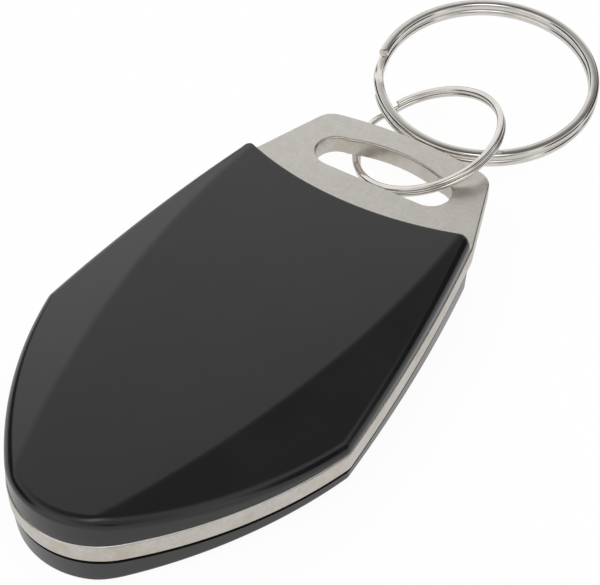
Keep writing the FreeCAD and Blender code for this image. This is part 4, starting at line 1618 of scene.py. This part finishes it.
@dataclass(frozen=True)
class Studio:
    """The photograph's camera, a pale floor and a soft studio round them.

    Attributes:
        place: The camera's place in millimetres.
        forward: Its line of sight.
        right: Its right-hand side.
        focal_px: Focal length in pixels of the photograph.
        picture_px: Width of the photograph.
        sensor: Sensor width in millimetres.
        clip: Nearest and farthest distance that it shows, in metres.
        sky: Studio colours by height, from 0 straight below to 1 straight above.
        patches: Softboxes and dark flags in the studio, later ones over earlier ones.
        floor_reach: Half the floor's width in metres.
        floor_gap: Air between the fob and the floor in millimetres.
        floor_colour: Colour of the floor as it lights the fob.
        floor_shade: What the floor adds where light falls on it, so that it keeps the shadow.
        floor_shown: Brightness of the floor in the picture.
        floor_mirrored: Brightness of the floor in the fob's reflections.
    """

    place: tuple[float, float, float] = (53.74, -69.85, 101.51)
    forward: tuple[float, float, float] = (-0.3796, 0.5887, -0.7136)
    right: tuple[float, float, float] = (0.8371, 0.5471, 0.0060)
    focal_px: float = 1500.0
    picture_px: float = 600.0
    sensor: float = 36.0
    clip: tuple[float, float] = (0.005, 20.0)
    sky: tuple[tuple[float, Colour], ...] = (
        (0.0, WHITE),
        (0.60, (1.12, 1.11, 1.09)),
        (0.73, (1.02, 1.01, 1.0)),
        (0.82, (0.85, 0.85, 0.86)),
        (0.87, (0.77, 0.77, 0.78)),
        (0.89, (0.69, 0.69, 0.69)),
        (0.915, (0.50, 0.50, 0.50)),
        (0.95, (0.22, 0.215, 0.21)),
        (1.0, (0.12, 0.115, 0.11)),
    )
    patches: tuple[Patch, ...] = (
        Patch(78.0, 58.0, 10.0, 29.0, (0.20, 0.195, 0.19)),
        Patch(-55.0, 20.0, 18.0, 42.0, (0.52, 0.52, 0.52)),
        Patch(-60.0, 58.0, 8.0, 19.0, (2.1, 2.1, 2.1)),
        Patch(62.0, 12.0, 22.0, 31.0, SHADE),
        Patch(178.0, 10.0, 19.0, 27.0, SHADE),
        Patch(127.0, 0.0, 13.0, 19.0, SHADE),
        Patch(-148.0, 13.0, 19.0, 27.0, SHADE),
        Patch(13.0, 14.0, 17.0, 25.0, SHADE),
        Patch(-44.0, 12.0, 5.0, 11.0, (0.10, 0.10, 0.095)),
    )
    floor_reach: float = 3.0
    floor_gap: float = 0.02
    floor_colour: Colour = (0.86, 0.86, 0.86)
    floor_shade: Colour = (0.11, 0.11, 0.11)
    floor_shown: float = 0.935
    floor_mirrored: float = 0.74

    def add_camera(self) -> None:
        """Adds the camera and makes it the scene's."""
        data = bpy.data.cameras.new("photo_camera")
        data.sensor_fit = "HORIZONTAL"
        data.sensor_width = self.sensor
        data.lens = self.focal_px / self.picture_px * self.sensor
        data.clip_start, data.clip_end = self.clip
        camera = bpy.data.objects.new("photo_camera", data)
        ahead = Vector(self.forward).normalized()
        right = Vector(self.right)
        right = (right - ahead * right.dot(ahead)).normalized()
        pose = Matrix((right, right.cross(ahead), -ahead)).transposed().to_4x4()
        pose.translation = Vector(self.place) * MM
        camera.matrix_world = pose
        bpy.context.scene.collection.objects.link(camera)
        bpy.context.scene.camera = camera

    def _graded_sky(self, graph: Graph) -> Socket:
        """Adds the nodes for the studio's colour by direction.

        Args:
            graph: The world's nodes.

        Returns:
            The colour.
        """
        ray = graph.add("ShaderNodeTexCoord")["Generated"]
        split = graph.add("ShaderNodeSeparateXYZ", ray)
        height = graph.add("ShaderNodeMapRange", split["Z"], From_Min=-1.0)
        colour = graph.ramp(height["Result"], self.sky)
        for patch in self.patches:
            near = graph.add("ShaderNodeVectorMath", ray, patch.ray(), operation="DOT_PRODUCT")["Value"]
            outer, inner = (math.cos(math.radians(angle)) for angle in (patch.outer, patch.inner))
            colour = graph.tint(graph.soft_step(near, (outer, inner)), colour, patch.level)
        return colour

    def add_world(self) -> None:
        """A white background for the camera and the graded studio for everything else."""
        world = bpy.data.worlds.new("studio")
        bpy.context.scene.world = world
        world.use_nodes = True
        graph = Graph(world.node_tree)
        graph.tree.nodes.clear()
        seen = graph.add("ShaderNodeLightPath")["Is Camera Ray"]
        studio = graph.add("ShaderNodeBackground", self._graded_sky(graph))["Background"]
        plain = graph.add("ShaderNodeBackground", WHITE)["Background"]
        mix = graph.add("ShaderNodeMixShader", seen, studio, plain)
        graph.add("ShaderNodeOutputWorld", mix["Shader"])

    def _floor_material(self) -> bpy.types.Material:
        """Makes the floor's material: nearly white where it is seen, and clear from below.

        Returns:
            The material.
        """
        material = bpy.data.materials.new("pale_floor")
        material.use_nodes = True
        graph = Graph(material.node_tree)
        graph.tree.nodes.clear()
        path = graph.add("ShaderNodeLightPath")
        extra = self.floor_shown - self.floor_mirrored
        level = graph.reckon("MULTIPLY_ADD", path["Is Camera Ray"], extra, self.floor_mirrored)
        matt = graph.add("ShaderNodeBsdfDiffuse", self.floor_colour)["BSDF"]
        faint = graph.add("ShaderNodeBsdfDiffuse", self.floor_shade)["BSDF"]
        glow = graph.add("ShaderNodeEmission", Strength=level)["Emission"]
        shown = graph.add("ShaderNodeAddShader", faint, glow)["Shader"]
        seen = graph.reckon("MAXIMUM", path["Is Camera Ray"], path["Is Glossy Ray"])
        direct = graph.reckon("MAXIMUM", seen, path["Is Transmission Ray"])
        above = graph.add("ShaderNodeMixShader", direct, matt, shown)["Shader"]
        back = graph.add("ShaderNodeNewGeometry")["Backfacing"]
        clear = graph.add("ShaderNodeBsdfTransparent")["BSDF"]
        both = graph.add("ShaderNodeMixShader", back, above, clear)["Shader"]
        graph.add("ShaderNodeOutputMaterial", both)
        return material

    def add_floor(self) -> None:
        """A plain pale floor that keeps a faint shadow."""
        mesh = bmesh.new()
        seat = Matrix.Translation((0.0, 0.0, -self.floor_gap * MM))
        bmesh.ops.create_grid(mesh, x_segments=1, y_segments=1, size=self.floor_reach, matrix=seat)
        floor = finished("floor", mesh)
        floor.data.materials.append(self._floor_material())

    def build(self) -> None:
        """Sets the stage."""
        bpy.context.scene.view_settings.view_transform = "Standard"
        self.add_floor()
        self.add_world()
        self.add_camera()


# Assembly

SMALL_RING = SplitRing(
    "small_ring_wire", Node.SMALL_RING, Rider.SMALL, outside=15.87, width=0.74, height=0.48,
    rounding=0.21, split=145.0, step=26.0, centre=(1.24, 35.05, 4.76), lean_side=18.37, lean_back=9.18,
)
LARGE_RING = SplitRing(
    "large_ring_wire", Node.LARGE_RING, Rider.LARGE, outside=23.38, width=1.06, height=0.84,
    rounding=0.38, split=193.0, step=24.0, centre=(1.75, 46.18, 5.42), lean_side=-1.66, lean_back=6.9,
)


def main() -> None:
    """Builds the scene."""
    logging.basicConfig(level=logging.INFO)
    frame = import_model()
    plan = FobPlan()
    low, high = (corner.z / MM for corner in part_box(Node.PLATE.value))
    upper_top = Top(nose_height=3.0, end_height=1.9)
    lower_top = Top(nose_height=low, end_height=low)
    upper = Cover(
        "upper_cover", Node.UPPER, plan, upper_top, plate_side=high, up=True, hollow=0.8, rim_radius=0.85
    )
    lower = Cover(
        "lower_cover", Node.LOWER, plan, lower_top, plate_side=low, up=False, hollow=1.8, rim_radius=0.45,
        groove=0.35, groove_depth=0.3,
    )
    effects = Effects()
    plastic, metal, nickel = (finish.material(effects) for finish in (PLASTIC, PLATE, RING))
    pieces = (
        (upper, plastic),
        (lower, plastic),
        (JoiningPins(), plastic),
        (LoopPlate(plan, low, high), metal),
        (SMALL_RING, nickel),
        (LARGE_RING, nickel),
    )
    for model, material in pieces:
        piece = model.build()
        model.dress(piece, material)
        LOG.info("built %s with %d faces", piece.name, len(piece.data.polygons))
    InnerParts(frame["nodes"]).dress(effects)
    Studio().build()


if __name__ == "__main__":
    main()
